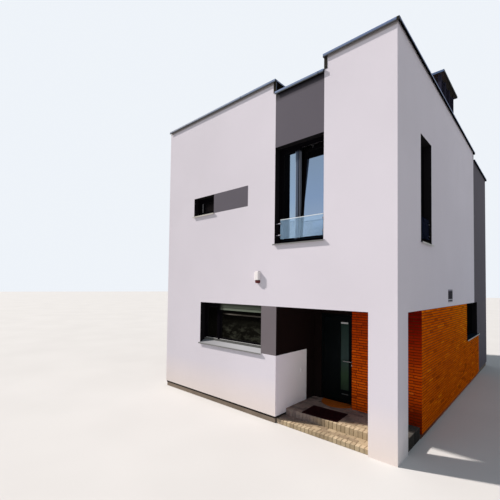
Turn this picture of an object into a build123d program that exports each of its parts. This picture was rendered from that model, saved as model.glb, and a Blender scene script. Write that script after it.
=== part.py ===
from build123d import *
import os

# End house of a row of flat-roofed, two-storey houses.
# House coordinates in millimetres: x runs right along the front from the party wall,
# y runs back from the street front, z runs up from the ground.

# Footprint and storeys
HOUSE_W = 6760          # party wall face to right-hand wall face
HOUSE_D = 10450         # street front to rear front
WALL_T = 380            # outer wall with its insulation
PARTY_T = 240           # party wall
RAFT_H = 100            # top of the foundation raft, where the walls start
RAFT_SET = 25           # raft edge and wall base behind the wall faces
BASE_H = 150            # lower edge of the render above the set-back base
GROUND_FLOOR_H = 270    # finished ground floor
OPENING_HEAD = 2572     # heads of the ground-floor openings, porch soffit and storey joint
CEILING_GROUND = 2950
FLOOR_UPPER = 3300
CEILING_UPPER = 6300
ROOF_TOP = 6850
PARAPET_TOP = 7740      # white parapets
SLOT_STEP = 300         # the grey parapet over the tall window is lower by this much
REAR_STEP = 250         # the grey parapets at the rear are lower by this much
WHITE_D = 7680          # depth of the white upper part along the right-hand side

# Porch in the front right corner, its widths measured left from the right-hand wall face
PORCH_W = 2600
BRICK_FRONT_Y = 1400    # brick front inside the porch
DOOR_WALL_Y = 1620      # grey wall that holds the door
COLUMN_W = 513
COLUMN_D = 555
DOOR_RIGHT = 1470
DOOR_LEFT = 2390
DOOR_HEAD = 2370
WAINSCOT_TOP = 1480     # white render below, grey above
WAINSCOT_D = 1260
BRICK_END = 8500        # rear end of the brick on the right-hand side
STEP_FRONT = 50
PLATFORM_FRONT = 400
PLATFORM_H = 240
STEP_SIDE = 30          # right-hand ends of the steps behind the wall face

# Front and rear openings: left and right edges from the right-hand wall face, sill and head
FRONT_WINDOW = (5207, 3035, 1535, OPENING_HEAD)
BAND_WINDOW = (5558, 4731, 4960, 5469)
SLOT_WINDOW = (2674, 1433, 3970, 6166)
REAR_WIDE = (5600, 3428, 1450, OPENING_HEAD)
REAR_SHORT = (2700, 1459, 1450, OPENING_HEAD)
REAR_TALL = (5200, 3959, 3950, 6166)
REAR_SLIT = (2500, 1676, 3950, 6166)
# Openings on the right-hand side: near and far edges from the street front, sill and head
SIDE_SLIT = (1392, 2216, 3970, 6200)
SIDE_WINDOW = (6258, 8221, 1450, OPENING_HEAD)
BAND_END = 3498         # right end of the grey field that continues the band window
INLAY_T = 20

# Windows
REVEAL = 160            # window frame behind the wall face
FRAME_D = 80
FRAME_W = 62
SASH_W = 58
SASH_SET = 12           # sash face behind the frame face
SASH_D = 60
GLASS_T = 28
GLASS_BITE = 8          # glass edge inside the sash
SASH_GAP = 3
SEAT_GAP = 0.3
TILT = 5                # degrees that the open sash leans into the room
FRONT_MULLION = 577
SLOT_MULLION = 524
SIDE_MULLION = 980
SILL_OUT = 45           # sill nose in front of the wall face
SILL_T = 4
SILL_FALL = 16
SILL_NOSE = 30
SILL_SIDE = 25          # sill ends past the opening on each side

# Copings and flashings
COPING_OVER = 44
COPING_H = 60
COPING_T = 6
FLASHING_T = 6
FLASHING_W = 60

# Glass guards in the tall upper windows
GUARD_LOW = 105         # glass above the sill
GUARD_H = 440
GUARD_T = 16
GUARD_SET = 40          # glass behind the wall face
GUARD_GAPS = (55, 55)   # gaps from the glass to the left and right reveals
SLOT_GAPS = (130, 35)   # the same in the tall front window
STUD_R = 16
STUD_IN = 90            # studs in from the top and bottom edges of the glass

# Chimney
CHIMNEY_RIGHT = 440     # stack from the right-hand wall face
CHIMNEY_W = 640
CHIMNEY_D = 1715        # along the side
CHIMNEY_END = 755       # rear face in front of the end of the white side
STACK_TOP = 8850
LOUVRE_H = 680
CAP_OVER = 100
CAP_T = 60
LOUVRE_POST_W = 90
LOUVRE_SIDE_BAYS = 3
LOUVRE_COUNT = 6
LOUVRE_BLADE = 60
LOUVRE_T = 10
LOUVRE_ANGLE = 40

# Small fittings
VENT = (3780, 4200, 2680, 3000)
VENT_OUT = 18
VENT_FRAME = 26
VENT_BLADES = 7
VENT_SHEET = 4
VENT_ANGLE = 40
SIREN_X = 3132          # centre, from the right-hand wall face
SIREN_Z = 3165
SIREN_W = 128
SIREN_H = 205
SIREN_D = 85
SIREN_R = 22
LENS_SET = 10           # lens in from the siren's faces
LENS_H = 75
LENS_R = 30
BELL_Y = 1036
BELL_Z = 1000
BELL_W = 80
BELL_H = 80
BELL_D = 14
BELL_R = 10
MAT_T = 12
MAT_X = 1785            # centre of the mat from the right-hand wall face
MAT_Y = 715
MAT_W = 830
MAT_D = 570
MAT_TURN = 3            # degrees that the mat lies askew
COIR_X = 1900           # centre of the coir mat from the right-hand wall face
COIR_R = 415
COIR_GAP = 25           # coir mat in front of the door frame

# Front door, hinged on its left edge and opening outwards
JAMB_W = 45
DOOR_SET = 20           # frame face behind the grey wall face
LEAF_T = 68
LEAF_GAP = 10
LEAF_UNDER = 15         # leaf above the threshold
THRESHOLD = 20
STOP_D = 20
STOP_W = 24
STOP_GAP = 5
LIGHT_W = 215
LIGHT_IN = 138          # glass strip from the leaf's right edge
LIGHT_LOW = 275         # glass strip from the leaf's lower edge
LIGHT_HIGH = 137        # glass strip from the leaf's upper edge
HANDLE_UP = 975         # lever above the leaf's lower edge
HANDLE_IN = 45
HANDLE_L = 220
HANDLE_R = 10
HANDLE_OUT = 55
ROSE_R = 26
ROSE_T = 8
HINGE_R = 13
HINGE_H = 110
HINGE_HEIGHTS = (350, 1280, 1690)
HINGE_TAB = 32
HINGE_OFF = 14          # hinge axis in front of the leaf face

# Worked out from the sizes above
PARAPET_SLOT = PARAPET_TOP - SLOT_STEP
PARAPET_REAR = PARAPET_TOP - REAR_STEP
FRONT_DROP = FRONT_WINDOW[2] - WAINSCOT_TOP
SIDE_PAST = BRICK_END - SIDE_WINDOW[1] - SILL_SIDE
BLOCK_X = HOUSE_W - PORCH_W
INNER_R = HOUSE_W - WALL_T
INNER_B = HOUSE_D - WALL_T
DOOR_X0 = HOUSE_W - DOOR_LEFT
DOOR_X1 = HOUSE_W - DOOR_RIGHT
DOOR_WALL_BACK = DOOR_WALL_Y + WALL_T
COPING_REACH = COPING_OVER + COPING_T
FRONT_REACH = max(SIREN_D, SILL_OUT, COPING_REACH)
FROM_CENTRE = Location((-(HOUSE_W + COPING_REACH) / 2, -(HOUSE_D + COPING_REACH - FRONT_REACH) / 2, 0))
LEAF_X0 = DOOR_X0 + JAMB_W + LEAF_GAP
LEAF_X1 = DOOR_X1 - JAMB_W - LEAF_GAP
LEAF_Y = DOOR_WALL_Y + DOOR_SET
LEAF_Z0 = PLATFORM_H + THRESHOLD + LEAF_UNDER
LEAF_Z1 = DOOR_HEAD - JAMB_W - LEAF_GAP
HINGE_X = LEAF_X0 - LEAF_GAP / 2
HINGE_Y = LEAF_Y - HINGE_OFF
STEP_RISE_X = HOUSE_W - STEP_SIDE
CHIMNEY_FAR = WHITE_D - CHIMNEY_END
CHIMNEY_NEAR = CHIMNEY_FAR - CHIMNEY_D


def rect(a0, b0, a1, b1):
    """Flat rectangle between two corners."""
    return Pos((a0 + a1) / 2, (b0 + b1) / 2) * Rectangle(a1 - a0, b1 - b0)


def outline(*points):
    """Flat shape with straight sides through the points."""
    return Polygon(*points, align=None)


def plan(shape, z0, z1):
    """Shape drawn in x and y, raised from z0 to z1."""
    return extrude(Plane.XY.offset(z0) * shape, z1 - z0, dir=(0, 0, 1))


def front(shape, y0, y1):
    """Shape drawn in x and z, as seen from the street, from y0 back to y1."""
    return extrude(Plane.XZ.offset(-y0) * shape, y1 - y0, dir=(0, 1, 0))


def side(shape, x0, x1):
    """Shape drawn in y and z, as seen from the right, from x0 to x1."""
    return extrude(Plane.YZ.offset(x0) * shape, x1 - x0, dir=(1, 0, 0))


def opening(edges):
    """Rectangle of a front or rear opening from its four edges."""
    left, right, sill_z, head = edges
    return rect(HOUSE_W - left, sill_z, HOUSE_W - right, head)


def save(name, *bodies):
    """Write one file, moved so that the origin is at the centre of the base."""
    placed = [solid.moved(FROM_CENTRE) for body in bodies for solid in body.solids()]
    whole = placed[0] if len(placed) == 1 else Compound(children=placed)
    whole.label = name
    export_step(whole, os.path.join("parts", name + ".step"))


# Ground, floors and roof

def foundation_slab():
    """Raft under all the walls, with the ground floor raised on it between them."""
    s = RAFT_SET
    raft = outline((s, s), (BLOCK_X - s, s), (BLOCK_X - s, DOOR_WALL_Y + s), (DOOR_X1 + s, DOOR_WALL_Y + s),
                   (DOOR_X1 + s, BRICK_FRONT_Y + s), (HOUSE_W - s, BRICK_FRONT_Y + s),
                   (HOUSE_W - s, HOUSE_D - s), (s, HOUSE_D - s))
    x = BLOCK_X - WALL_T
    floor = outline((PARTY_T, WALL_T), (x, WALL_T), (x, DOOR_WALL_BACK), (INNER_R, DOOR_WALL_BACK),
                    (INNER_R, INNER_B), (PARTY_T, INNER_B))
    return plan(raft, 0, RAFT_H) + plan(floor, RAFT_H, GROUND_FLOOR_H)


def upper_floor():
    return plan(rect(PARTY_T, WALL_T, INNER_R, INNER_B), CEILING_GROUND, FLOOR_UPPER)


def roof_deck():
    return plan(rect(PARTY_T, WALL_T, INNER_R, INNER_B), CEILING_UPPER, ROOF_TOP)


def porch_ceiling():
    """Boxed-in ceiling between the porch soffit and the upper floor."""
    return plan(rect(BLOCK_X - WALL_T, WALL_T, INNER_R, DOOR_WALL_BACK), OPENING_HEAD, CEILING_GROUND)


# Walls

def set_back(wall, cut):
    """Cut the wall's base back from its outer face, up to the lower edge of the render."""
    return wall - plan(cut, RAFT_H, BASE_H)


def front_wall_lower():
    """Lower wall with the window notch, open at the top where the upper wall closes it."""
    left, right, sill_z, head = FRONT_WINDOW
    x0 = HOUSE_W - left
    x1 = HOUSE_W - right
    shape = outline((0, RAFT_H), (BLOCK_X, RAFT_H), (BLOCK_X, WAINSCOT_TOP), (x1, WAINSCOT_TOP), (x1, sill_z),
                    (x0, sill_z), (x0, head), (0, head))
    bed = front(rect(x0, WAINSCOT_TOP, x1, sill_z), 0, REVEAL)
    corner = outline((0, 0), (BLOCK_X, 0), (BLOCK_X, WALL_T), (BLOCK_X - RAFT_SET, WALL_T),
                     (BLOCK_X - RAFT_SET, RAFT_SET), (0, RAFT_SET))
    return set_back(front(shape, 0, WALL_T) - bed, corner)


def porch_side_wall():
    """White lower part of the porch side wall, behind the front wall."""
    wall = side(rect(WALL_T, RAFT_H, WAINSCOT_D, WAINSCOT_TOP), BLOCK_X - WALL_T, BLOCK_X)
    return set_back(wall, rect(BLOCK_X - RAFT_SET, WALL_T, BLOCK_X, WAINSCOT_D))


def porch_wall_grey():
    """Grey corner pier beside the window, band over the white wall and stretch to the door."""
    pier = front(rect(HOUSE_W - FRONT_WINDOW[1], WAINSCOT_TOP, BLOCK_X, OPENING_HEAD), 0, WALL_T)
    band = outline((WALL_T, WAINSCOT_TOP), (WAINSCOT_D, WAINSCOT_TOP), (WAINSCOT_D, RAFT_H),
                   (DOOR_WALL_BACK, RAFT_H), (DOOR_WALL_BACK, OPENING_HEAD), (WALL_T, OPENING_HEAD))
    beside_door = front(rect(BLOCK_X, RAFT_H, DOOR_X0, OPENING_HEAD), DOOR_WALL_Y, DOOR_WALL_BACK)
    return pier + side(band, BLOCK_X - WALL_T, BLOCK_X) + beside_door


def door_lintel():
    return front(rect(DOOR_X0, DOOR_HEAD, DOOR_X1, OPENING_HEAD), DOOR_WALL_Y, DOOR_WALL_BACK)


def brick_front():
    """Brick-faced wall between the door and the right-hand side."""
    return plan(rect(DOOR_X1, BRICK_FRONT_Y, INNER_R, DOOR_WALL_BACK), RAFT_H, OPENING_HEAD)


def brick_side():
    """Brick-faced right-hand wall, full height up to the side window and low from there on."""
    near, far, sill_z, head = SIDE_WINDOW
    shape = outline((BRICK_FRONT_Y, RAFT_H), (BRICK_END, RAFT_H), (BRICK_END, sill_z), (near, sill_z),
                    (near, head), (BRICK_FRONT_Y, head))
    return side(shape, INNER_R, HOUSE_W)


def side_wall_rear():
    """Grey rear stretch of the right-hand wall, longer beside and above the side window."""
    near, far, sill_z, head = SIDE_WINDOW
    shape = outline((BRICK_END, RAFT_H), (HOUSE_D, RAFT_H), (HOUSE_D, PARAPET_REAR),
                    (WHITE_D, PARAPET_REAR), (WHITE_D, head), (far, head), (far, sill_z), (BRICK_END, sill_z))
    cut = outline((HOUSE_W, BRICK_END), (HOUSE_W, HOUSE_D), (INNER_R, HOUSE_D), (INNER_R, HOUSE_D - RAFT_SET),
                  (HOUSE_W - RAFT_SET, HOUSE_D - RAFT_SET), (HOUSE_W - RAFT_SET, BRICK_END))
    return set_back(side(shape, INNER_R, HOUSE_W), cut)


def corner_column():
    return plan(rect(HOUSE_W - COLUMN_W, 0, HOUSE_W, COLUMN_D), 0, OPENING_HEAD)


def front_wall_upper():
    """White upper wall left of the tall window, with the band window and the inlay pocket."""
    left, right, sill_z, head = BAND_WINDOW
    shape = rect(0, OPENING_HEAD, HOUSE_W - SLOT_WINDOW[0], PARAPET_TOP) - opening(BAND_WINDOW)
    pocket = rect(HOUSE_W - right, sill_z, HOUSE_W - BAND_END, head)
    return front(shape, 0, WALL_T) - front(pocket, 0, INLAY_T)


def band_inlay():
    """Grey field that continues the band window, flush with the wall."""
    left, right, sill_z, head = BAND_WINDOW
    return front(rect(HOUSE_W - right, sill_z, HOUSE_W - BAND_END, head), 0, INLAY_T)


def slot_wall():
    """White wall under the tall window."""
    left, right, sill_z, head = SLOT_WINDOW
    return front(rect(HOUSE_W - left, OPENING_HEAD, HOUSE_W - right, sill_z), 0, WALL_T)


def slot_panel():
    """Grey wall over the tall window, up to the lowered parapet."""
    left, right, sill_z, head = SLOT_WINDOW
    return front(rect(HOUSE_W - left, head, HOUSE_W - right, PARAPET_SLOT), 0, WALL_T)


def front_wall_right():
    return front(rect(HOUSE_W - SLOT_WINDOW[1], OPENING_HEAD, HOUSE_W, PARAPET_TOP), 0, WALL_T)


def side_wall_upper():
    """White upper right-hand wall with its tall slit window."""
    near, far, sill_z, head = SIDE_SLIT
    wall = rect(WALL_T, OPENING_HEAD, WHITE_D, PARAPET_TOP) - rect(near, sill_z, far, head)
    return side(wall, INNER_R, HOUSE_W)


def rear_wall():
    """Grey rear wall between the party wall and the right-hand wall."""
    shape = rect(PARTY_T, RAFT_H, INNER_R, PARAPET_REAR)
    for edges in (REAR_WIDE, REAR_SHORT, REAR_TALL, REAR_SLIT):
        shape -= opening(edges)
    return set_back(front(shape, INNER_B, HOUSE_D), rect(PARTY_T, HOUSE_D - RAFT_SET, INNER_R, HOUSE_D))


def party_wall():
    """Plain wall to the neighbour, stepped down at the back like the right-hand side."""
    shape = outline((WALL_T, RAFT_H), (HOUSE_D, RAFT_H), (HOUSE_D, PARAPET_REAR), (WHITE_D, PARAPET_REAR),
                    (WHITE_D, PARAPET_TOP), (WALL_T, PARAPET_TOP))
    return set_back(side(shape, 0, PARTY_T), rect(0, HOUSE_D - RAFT_SET, PARTY_T, HOUSE_D))


# Copings and flashings

def coping(wall_top, top, keep):
    """Folded sheet cap seated on a wall top, with a drip down every free edge."""
    hollow = offset(wall_top, COPING_OVER, kind=Kind.INTERSECTION)
    sheet = offset(wall_top, COPING_OVER + COPING_T, kind=Kind.INTERSECTION)
    cap = plan(sheet, top - COPING_H, top + COPING_T) - plan(hollow, top - COPING_H - COPING_T, top)
    return cap & plan(keep, top - COPING_H, top + COPING_T)


def coping_left():
    """High coping over the front wall left of the tall window and over the party wall."""
    end = HOUSE_W - SLOT_WINDOW[0] + FLASHING_T - COPING_OVER
    wall = outline((0, 0), (end, 0), (end, WALL_T), (PARTY_T, WALL_T), (PARTY_T, WHITE_D), (0, WHITE_D))
    return coping(wall, PARAPET_TOP, rect(0, -HOUSE_D, HOUSE_W, 2 * HOUSE_D))


def coping_right():
    """High coping over the front wall right of the tall window and over the white side."""
    end = HOUSE_W - SLOT_WINDOW[1] - FLASHING_T + COPING_OVER
    wall = outline((end, 0), (HOUSE_W, 0), (HOUSE_W, WHITE_D), (INNER_R, WHITE_D), (INNER_R, WALL_T),
                   (end, WALL_T))
    return coping(wall, PARAPET_TOP, rect(0, -HOUSE_D, 2 * HOUSE_W, 2 * HOUSE_D))


def coping_slot():
    """Low coping over the tall window, cut off by the high walls beside it."""
    x0 = HOUSE_W - SLOT_WINDOW[0]
    x1 = HOUSE_W - SLOT_WINDOW[1]
    return coping(rect(x0 - WALL_T, 0, x1 + WALL_T, WALL_T), PARAPET_SLOT, rect(x0, -HOUSE_D, x1, HOUSE_D))


def coping_rear():
    """Low coping round the rear: party wall, rear wall and grey side."""
    y0 = WHITE_D - WALL_T
    wall = outline((0, y0), (PARTY_T, y0), (PARTY_T, INNER_B), (INNER_R, INNER_B), (INNER_R, y0), (HOUSE_W, y0),
                   (HOUSE_W, HOUSE_D), (0, HOUSE_D))
    return coping(wall, PARAPET_REAR, rect(0, WHITE_D, 2 * HOUSE_W, 2 * HOUSE_D))


def flashing(end, wall, low):
    """Sheet folded round the upright end of a high parapet, standing on the coping at height low."""
    shape = offset(end, FLASHING_T, kind=Kind.INTERSECTION) - wall
    keep = rect(0, -WALL_T, 2 * HOUSE_W, HOUSE_D)
    return plan(shape & keep, low + COPING_T, PARAPET_TOP)


def parapet_flashings():
    t = FLASHING_T
    left_end = HOUSE_W - SLOT_WINDOW[0]
    right_end = HOUSE_W - SLOT_WINDOW[1]
    w = FLASHING_W
    back = WHITE_D - w
    left = flashing(rect(left_end - w, 0, left_end, WALL_T), rect(left_end - 2 * w, 0, left_end, WALL_T),
                    PARAPET_SLOT)
    right = flashing(rect(right_end, 0, right_end + w, WALL_T), rect(right_end, 0, right_end + 2 * w, WALL_T),
                     PARAPET_SLOT)
    side_end = flashing(rect(INNER_R, back, HOUSE_W, WHITE_D), rect(INNER_R, back - w, HOUSE_W, WHITE_D),
                        PARAPET_REAR)
    party_end = flashing(rect(0, back, PARTY_T, WHITE_D), rect(-t, back - w, PARTY_T, WHITE_D), PARAPET_REAR)
    return left, right, side_end, party_end


# Windows, drawn for an opening whose lower left corner is the origin, with y into the wall

def light_ring(x0, z0, x1, z1, width, y0, y1):
    return front(rect(x0, z0, x1, z1) - rect(x0 + width, z0 + width, x1 - width, z1 - width), y0, y1)


def lights(width, height, mullions):
    """Clear areas between the frame and the mullions, left to right."""
    edges = [0] + [x for m in mullions for x in (m - FRAME_W / 2, m + FRAME_W / 2)] + [width]
    edges[0] = FRAME_W
    edges[-1] = width - FRAME_W
    return [(edges[i], FRAME_W, edges[i + 1], height - FRAME_W) for i in range(0, len(edges), 2)]


def window(width, height, mullions=(), tilted=None):
    """Frame with its sashes, and one pane for each light. A tilted light is left open."""
    y0 = REVEAL
    frame = light_ring(0, 0, width, height, FRAME_W, y0, y0 + FRAME_D)
    for m in mullions:
        frame += front(rect(m - FRAME_W / 2, 0, m + FRAME_W / 2, height), y0, y0 + FRAME_D)
    panes = []
    for number, (x0, z0, x1, z1) in enumerate(lights(width, height, mullions)):
        if number == tilted:
            continue
        sash, pane = sash_and_pane(x0, z0, x1, z1)
        frame += sash
        panes.append(pane)
    return frame, panes


def sash_and_pane(x0, z0, x1, z1):
    y0 = REVEAL + SASH_SET
    sash = light_ring(x0, z0, x1, z1, SASH_W, y0, y0 + SASH_D)
    w = SASH_W - GLASS_BITE
    pane_y = y0 + (SASH_D - GLASS_T) / 2
    pane = front(rect(x0 + w, z0 + w, x1 - w, z1 - w), pane_y, pane_y + GLASS_T)
    return sash - pane, pane


def tilt_in(part, z0):
    """Lean a sash into the room about its lower inside edge."""
    hinge = Axis((0, REVEAL + SASH_SET + SASH_D, z0), (1, 0, 0))
    return part.rotate(hinge, -TILT)


def on_front(edges):
    return Location((HOUSE_W - edges[0], 0, edges[2]))


def on_side(edges):
    return Location((HOUSE_W, edges[0], edges[2]), (0, 0, 90))


def on_rear(edges):
    return Location((HOUSE_W - edges[1], HOUSE_D, edges[2]), (0, 0, 180))


def sized(edges):
    return abs(edges[1] - edges[0]), edges[3] - edges[2]


def slot_sash():
    """Right-hand sash of the tall window, tilted into the room, with its pane."""
    width, height = sized(SLOT_WINDOW)
    x0, z0, x1, z1 = lights(width, height, (SLOT_MULLION,))[1]
    g = SASH_GAP
    sash, pane = sash_and_pane(x0 + g, z0 + SEAT_GAP, x1 - g, z1 - g)
    place = on_front(SLOT_WINDOW)
    return tilt_in(sash, z0 + SEAT_GAP).moved(place), tilt_in(pane, z0 + SEAT_GAP).moved(place)


def placed(parts, place):
    return [part.moved(place) for part in parts]


def sill(width, drop, past):
    """Sloping metal sill bedded on the wall, with a folded nose past both reveals.

    It starts at drop below the window, so that a large drop makes it steep.
    Its nose runs on by past, beyond the window's right-hand edge.
    """
    t = SILL_T
    out = SILL_OUT
    bed = outline((REVEAL, 0), (REVEAL, drop + SILL_FALL), (0, t), (0, 0))
    nose = outline((0, 0), (0, t), (-out, 0), (-out, -SILL_NOSE), (t - out, -SILL_NOSE), (t - out, -t), (0, -t))
    nose = side(nose, -SILL_SIDE, width + SILL_SIDE + past)
    return (side(bed, 0, width) + nose).moved(Pos(0, 0, -drop))


# Glass guards

def guard(width, gaps):
    """Pane across the lower part of a tall window, inside the reveal."""
    left, right = gaps
    return front(rect(left, GUARD_LOW, width - right, GUARD_LOW + GUARD_H), GUARD_SET, GUARD_SET + GUARD_T)


def guard_studs(width, gaps):
    """Four studs between the reveals and the pane, each with a clamp over the glass edge."""
    left, right = gaps
    studs = []
    for z in (GUARD_LOW + STUD_IN, GUARD_LOW + GUARD_H - STUD_IN):
        for x, turn, gap in ((0, 90, left), (width, -90, right)):
            stud = Location((x, GUARD_SET + GUARD_T / 2, z), (0, turn, 0)) * clamp_stud(gap)
            studs.append(stud)
    return studs


def clamp_stud(gap):
    """Stud along z from the reveal, slotted over the glass edge."""
    reach = gap + STUD_R
    stud = extrude(Circle(STUD_R), reach)
    slot = plan(rect(-GUARD_T / 2, -STUD_R, GUARD_T / 2, STUD_R), gap, reach)
    return stud - Rot(0, 0, 90) * slot


# Chimney

def chimney_plan(grow):
    x1 = HOUSE_W - CHIMNEY_RIGHT
    return rect(x1 - CHIMNEY_W - grow, CHIMNEY_NEAR - grow, x1 + grow, CHIMNEY_FAR + grow)


def chimney_stack():
    return plan(chimney_plan(0), ROOF_TOP, STACK_TOP)


def chimney_cap():
    """Flat metal cap seated on the louvred head, with a drip lip all round."""
    seat = STACK_TOP + LOUVRE_H
    lip = plan(chimney_plan(CAP_OVER) - chimney_plan(CAP_OVER - COPING_T), seat - CAP_T / 2, seat)
    return lip + plan(chimney_plan(CAP_OVER), seat, seat + CAP_T / 2)


def louvre_side(length, bays):
    """Posts and sloping blades along one face, from x 0 to its length, outer face at y 0."""
    post = LOUVRE_POST_W
    pitch = (length - post) / bays
    parts = [plan(rect(n * pitch, 0, n * pitch + post, post), 0, LOUVRE_H) for n in range(bays + 1)]
    step = LOUVRE_H / (LOUVRE_COUNT + 1)
    for n in range(1, LOUVRE_COUNT + 1):
        blade = Pos(post / 2, n * step) * Rot(0, 0, LOUVRE_ANGLE) * Rectangle(LOUVRE_BLADE, LOUVRE_T)
        parts.append(side(blade, post / 2, length - post / 2))
    return parts


def chimney_louvres():
    """Open head of the stack: posts with sloping blades on all four faces."""
    x1 = HOUSE_W - CHIMNEY_RIGHT
    x0 = x1 - CHIMNEY_W
    long = CHIMNEY_FAR - CHIMNEY_NEAR
    near = Location((x0, CHIMNEY_NEAR, STACK_TOP))
    right = Location((x1, CHIMNEY_NEAR, STACK_TOP), (0, 0, 90))
    far = Location((x1, CHIMNEY_FAR, STACK_TOP), (0, 0, 180))
    left = Location((x0, CHIMNEY_FAR, STACK_TOP), (0, 0, -90))
    parts = placed(louvre_side(CHIMNEY_W, 1), near) + placed(louvre_side(long, LOUVRE_SIDE_BAYS), right)
    parts += placed(louvre_side(CHIMNEY_W, 1), far) + placed(louvre_side(long, LOUVRE_SIDE_BAYS), left)
    return parts[0].fuse(*parts[1:])


# Small fittings

def vent_grille():
    """Framed grille on the right-hand wall with down-turned blades."""
    near, far, z0, z1 = VENT
    f = VENT_FRAME
    ring = side(rect(near, z0, far, z1) - rect(near + f, z0 + f, far - f, z1 - f), HOUSE_W, HOUSE_W + VENT_OUT)
    grille = ring + side(rect(near, z0, far, z1), HOUSE_W, HOUSE_W + VENT_SHEET)
    pitch = (z1 - z0 - 2 * f) / VENT_BLADES
    for n in range(VENT_BLADES):
        z = z0 + f + (n + 0.5) * pitch
        blade = Pos(VENT_OUT / 2, z) * Rot(0, 0, -VENT_ANGLE) * Rectangle(VENT_OUT, VENT_SHEET)
        grille += front(Pos(HOUSE_W, 0) * blade, near + f, far - f)
    return grille


def alarm_siren():
    """Wall box with rounded upright edges and a sloped top."""
    x = HOUSE_W - SIREN_X
    body = plan(rect(x - SIREN_W / 2, -SIREN_D, x + SIREN_W / 2, 0), SIREN_Z, SIREN_Z + SIREN_H)
    front_edges = body.edges().filter_by(Axis.Z).group_by(Axis.Y)[0]
    body = fillet(front_edges, SIREN_R)
    return chamfer(body.faces().sort_by(Axis.Z)[-1].edges().sort_by(Axis.Y)[0], SIREN_R)


def siren_lens():
    """Lens under the siren, rounded at its front edges and towards the bottom."""
    x = HOUSE_W - SIREN_X
    half = SIREN_W / 2 - LENS_SET
    body = plan(rect(x - half, LENS_SET - SIREN_D, x + half, 0), SIREN_Z - LENS_H, SIREN_Z)
    body = fillet(body.edges().filter_by(Axis.Z).group_by(Axis.Y)[0], LENS_R)
    return fillet(body.faces().sort_by(Axis.Z)[0].edges().sort_by(Axis.Y)[0], LENS_R)


def bell_push():
    """Small rounded plate on the white porch side wall with its round button."""
    plate = side(Pos(BELL_Y, BELL_Z) * RectangleRounded(BELL_W, BELL_H, BELL_R), BLOCK_X, BLOCK_X + BELL_D)
    return plate + side(Pos(BELL_Y, BELL_Z) * Circle(BELL_R), BLOCK_X + BELL_D, BLOCK_X + BELL_D + BELL_R / 2)


def door_mats():
    """Flat rubber mat and a half-round coir mat at the door."""
    askew = Pos(HOUSE_W - MAT_X, MAT_Y) * Rot(0, 0, MAT_TURN) * Rectangle(MAT_W, MAT_D)
    flat = plan(askew, PLATFORM_H, PLATFORM_H + MAT_T)
    back = LEAF_Y - COIR_GAP
    disc = Pos(HOUSE_W - COIR_X, back) * Circle(COIR_R)
    half = disc & rect(0, back - COIR_R, HOUSE_W, back)
    return flat, plan(half, PLATFORM_H, PLATFORM_H + MAT_T)


# Steps

def step_plan(y0, y1):
    """Paved area from y0 back to y1, notched round the column."""
    right = HOUSE_W - COLUMN_W
    return outline((BLOCK_X, y0), (right, y0), (right, COLUMN_D), (STEP_RISE_X, COLUMN_D), (STEP_RISE_X, y1),
                   (BLOCK_X, y1))


def lower_step():
    """Lower tread across the porch, in front of the platform and under its edge."""
    return plan(step_plan(STEP_FRONT, BRICK_FRONT_Y), 0, RAFT_H)


def entrance_platform():
    """Upper level of the porch, running into the door recess."""
    recess = rect(BLOCK_X, BRICK_FRONT_Y, DOOR_X1, DOOR_WALL_Y)
    sides = plan(step_plan(PLATFORM_FRONT, BRICK_FRONT_Y), RAFT_H, PLATFORM_H)
    filling = plan(recess, 0, PLATFORM_H)
    doorway = plan(rect(DOOR_X0, DOOR_WALL_Y, DOOR_X1, DOOR_WALL_BACK), RAFT_H, PLATFORM_H)
    return sides + filling + doorway


# Front door

def knuckle(z0, z1, tab_x0, tab_x1, tab_y):
    """Hinge barrel length with the tab that carries it."""
    barrel = plan(Pos(HINGE_X, HINGE_Y) * Circle(HINGE_R), z0, z1)
    return barrel + plan(rect(tab_x0, HINGE_Y, tab_x1, tab_y), z0, z1)


def door_frame():
    """Frame with its stop, threshold bar and the fixed lower hinge knuckles."""
    z0 = PLATFORM_H
    w = JAMB_W
    back = LEAF_Y + LEAF_T + STOP_GAP
    ring = rect(DOOR_X0, z0, DOOR_X1, DOOR_HEAD) - rect(DOOR_X0 + w, z0, DOOR_X1 - w, DOOR_HEAD - w)
    inside = w + STOP_W
    stop = rect(DOOR_X0, z0, DOOR_X1, DOOR_HEAD) - rect(DOOR_X0 + inside, z0, DOOR_X1 - inside, DOOR_HEAD - inside)
    frame = front(ring, LEAF_Y, back) + front(stop, back, back + STOP_D)
    frame += plan(rect(DOOR_X0 + w, LEAF_Y, DOOR_X1 - w, DOOR_WALL_BACK), z0, z0 + THRESHOLD)
    for up in HINGE_HEIGHTS:
        z = LEAF_Z0 + up
        frame += knuckle(z - HINGE_H / 2, z, HINGE_X - HINGE_TAB, HINGE_X, LEAF_Y)
    return frame


def light_opening(grow):
    x1 = LEAF_X1 - LIGHT_IN
    return rect(x1 - LIGHT_W - grow, LEAF_Z0 + LIGHT_LOW - grow, x1 + grow, LEAF_Z1 - LIGHT_HIGH + grow)


def door_leaf():
    """Leaf with its glass strip opening and the upper hinge knuckles."""
    shape = rect(LEAF_X0, LEAF_Z0, LEAF_X1, LEAF_Z1) - light_opening(0)
    leaf = front(shape, LEAF_Y, LEAF_Y + LEAF_T) - door_glass()
    for up in HINGE_HEIGHTS:
        z = LEAF_Z0 + up
        leaf += knuckle(z + SEAT_GAP, z + HINGE_H / 2, HINGE_X, HINGE_X + HINGE_TAB, LEAF_Y)
    return leaf


def door_glass():
    y0 = LEAF_Y + (LEAF_T - GLASS_T) / 2
    return front(light_opening(GLASS_BITE), y0, y0 + GLASS_T)


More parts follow.
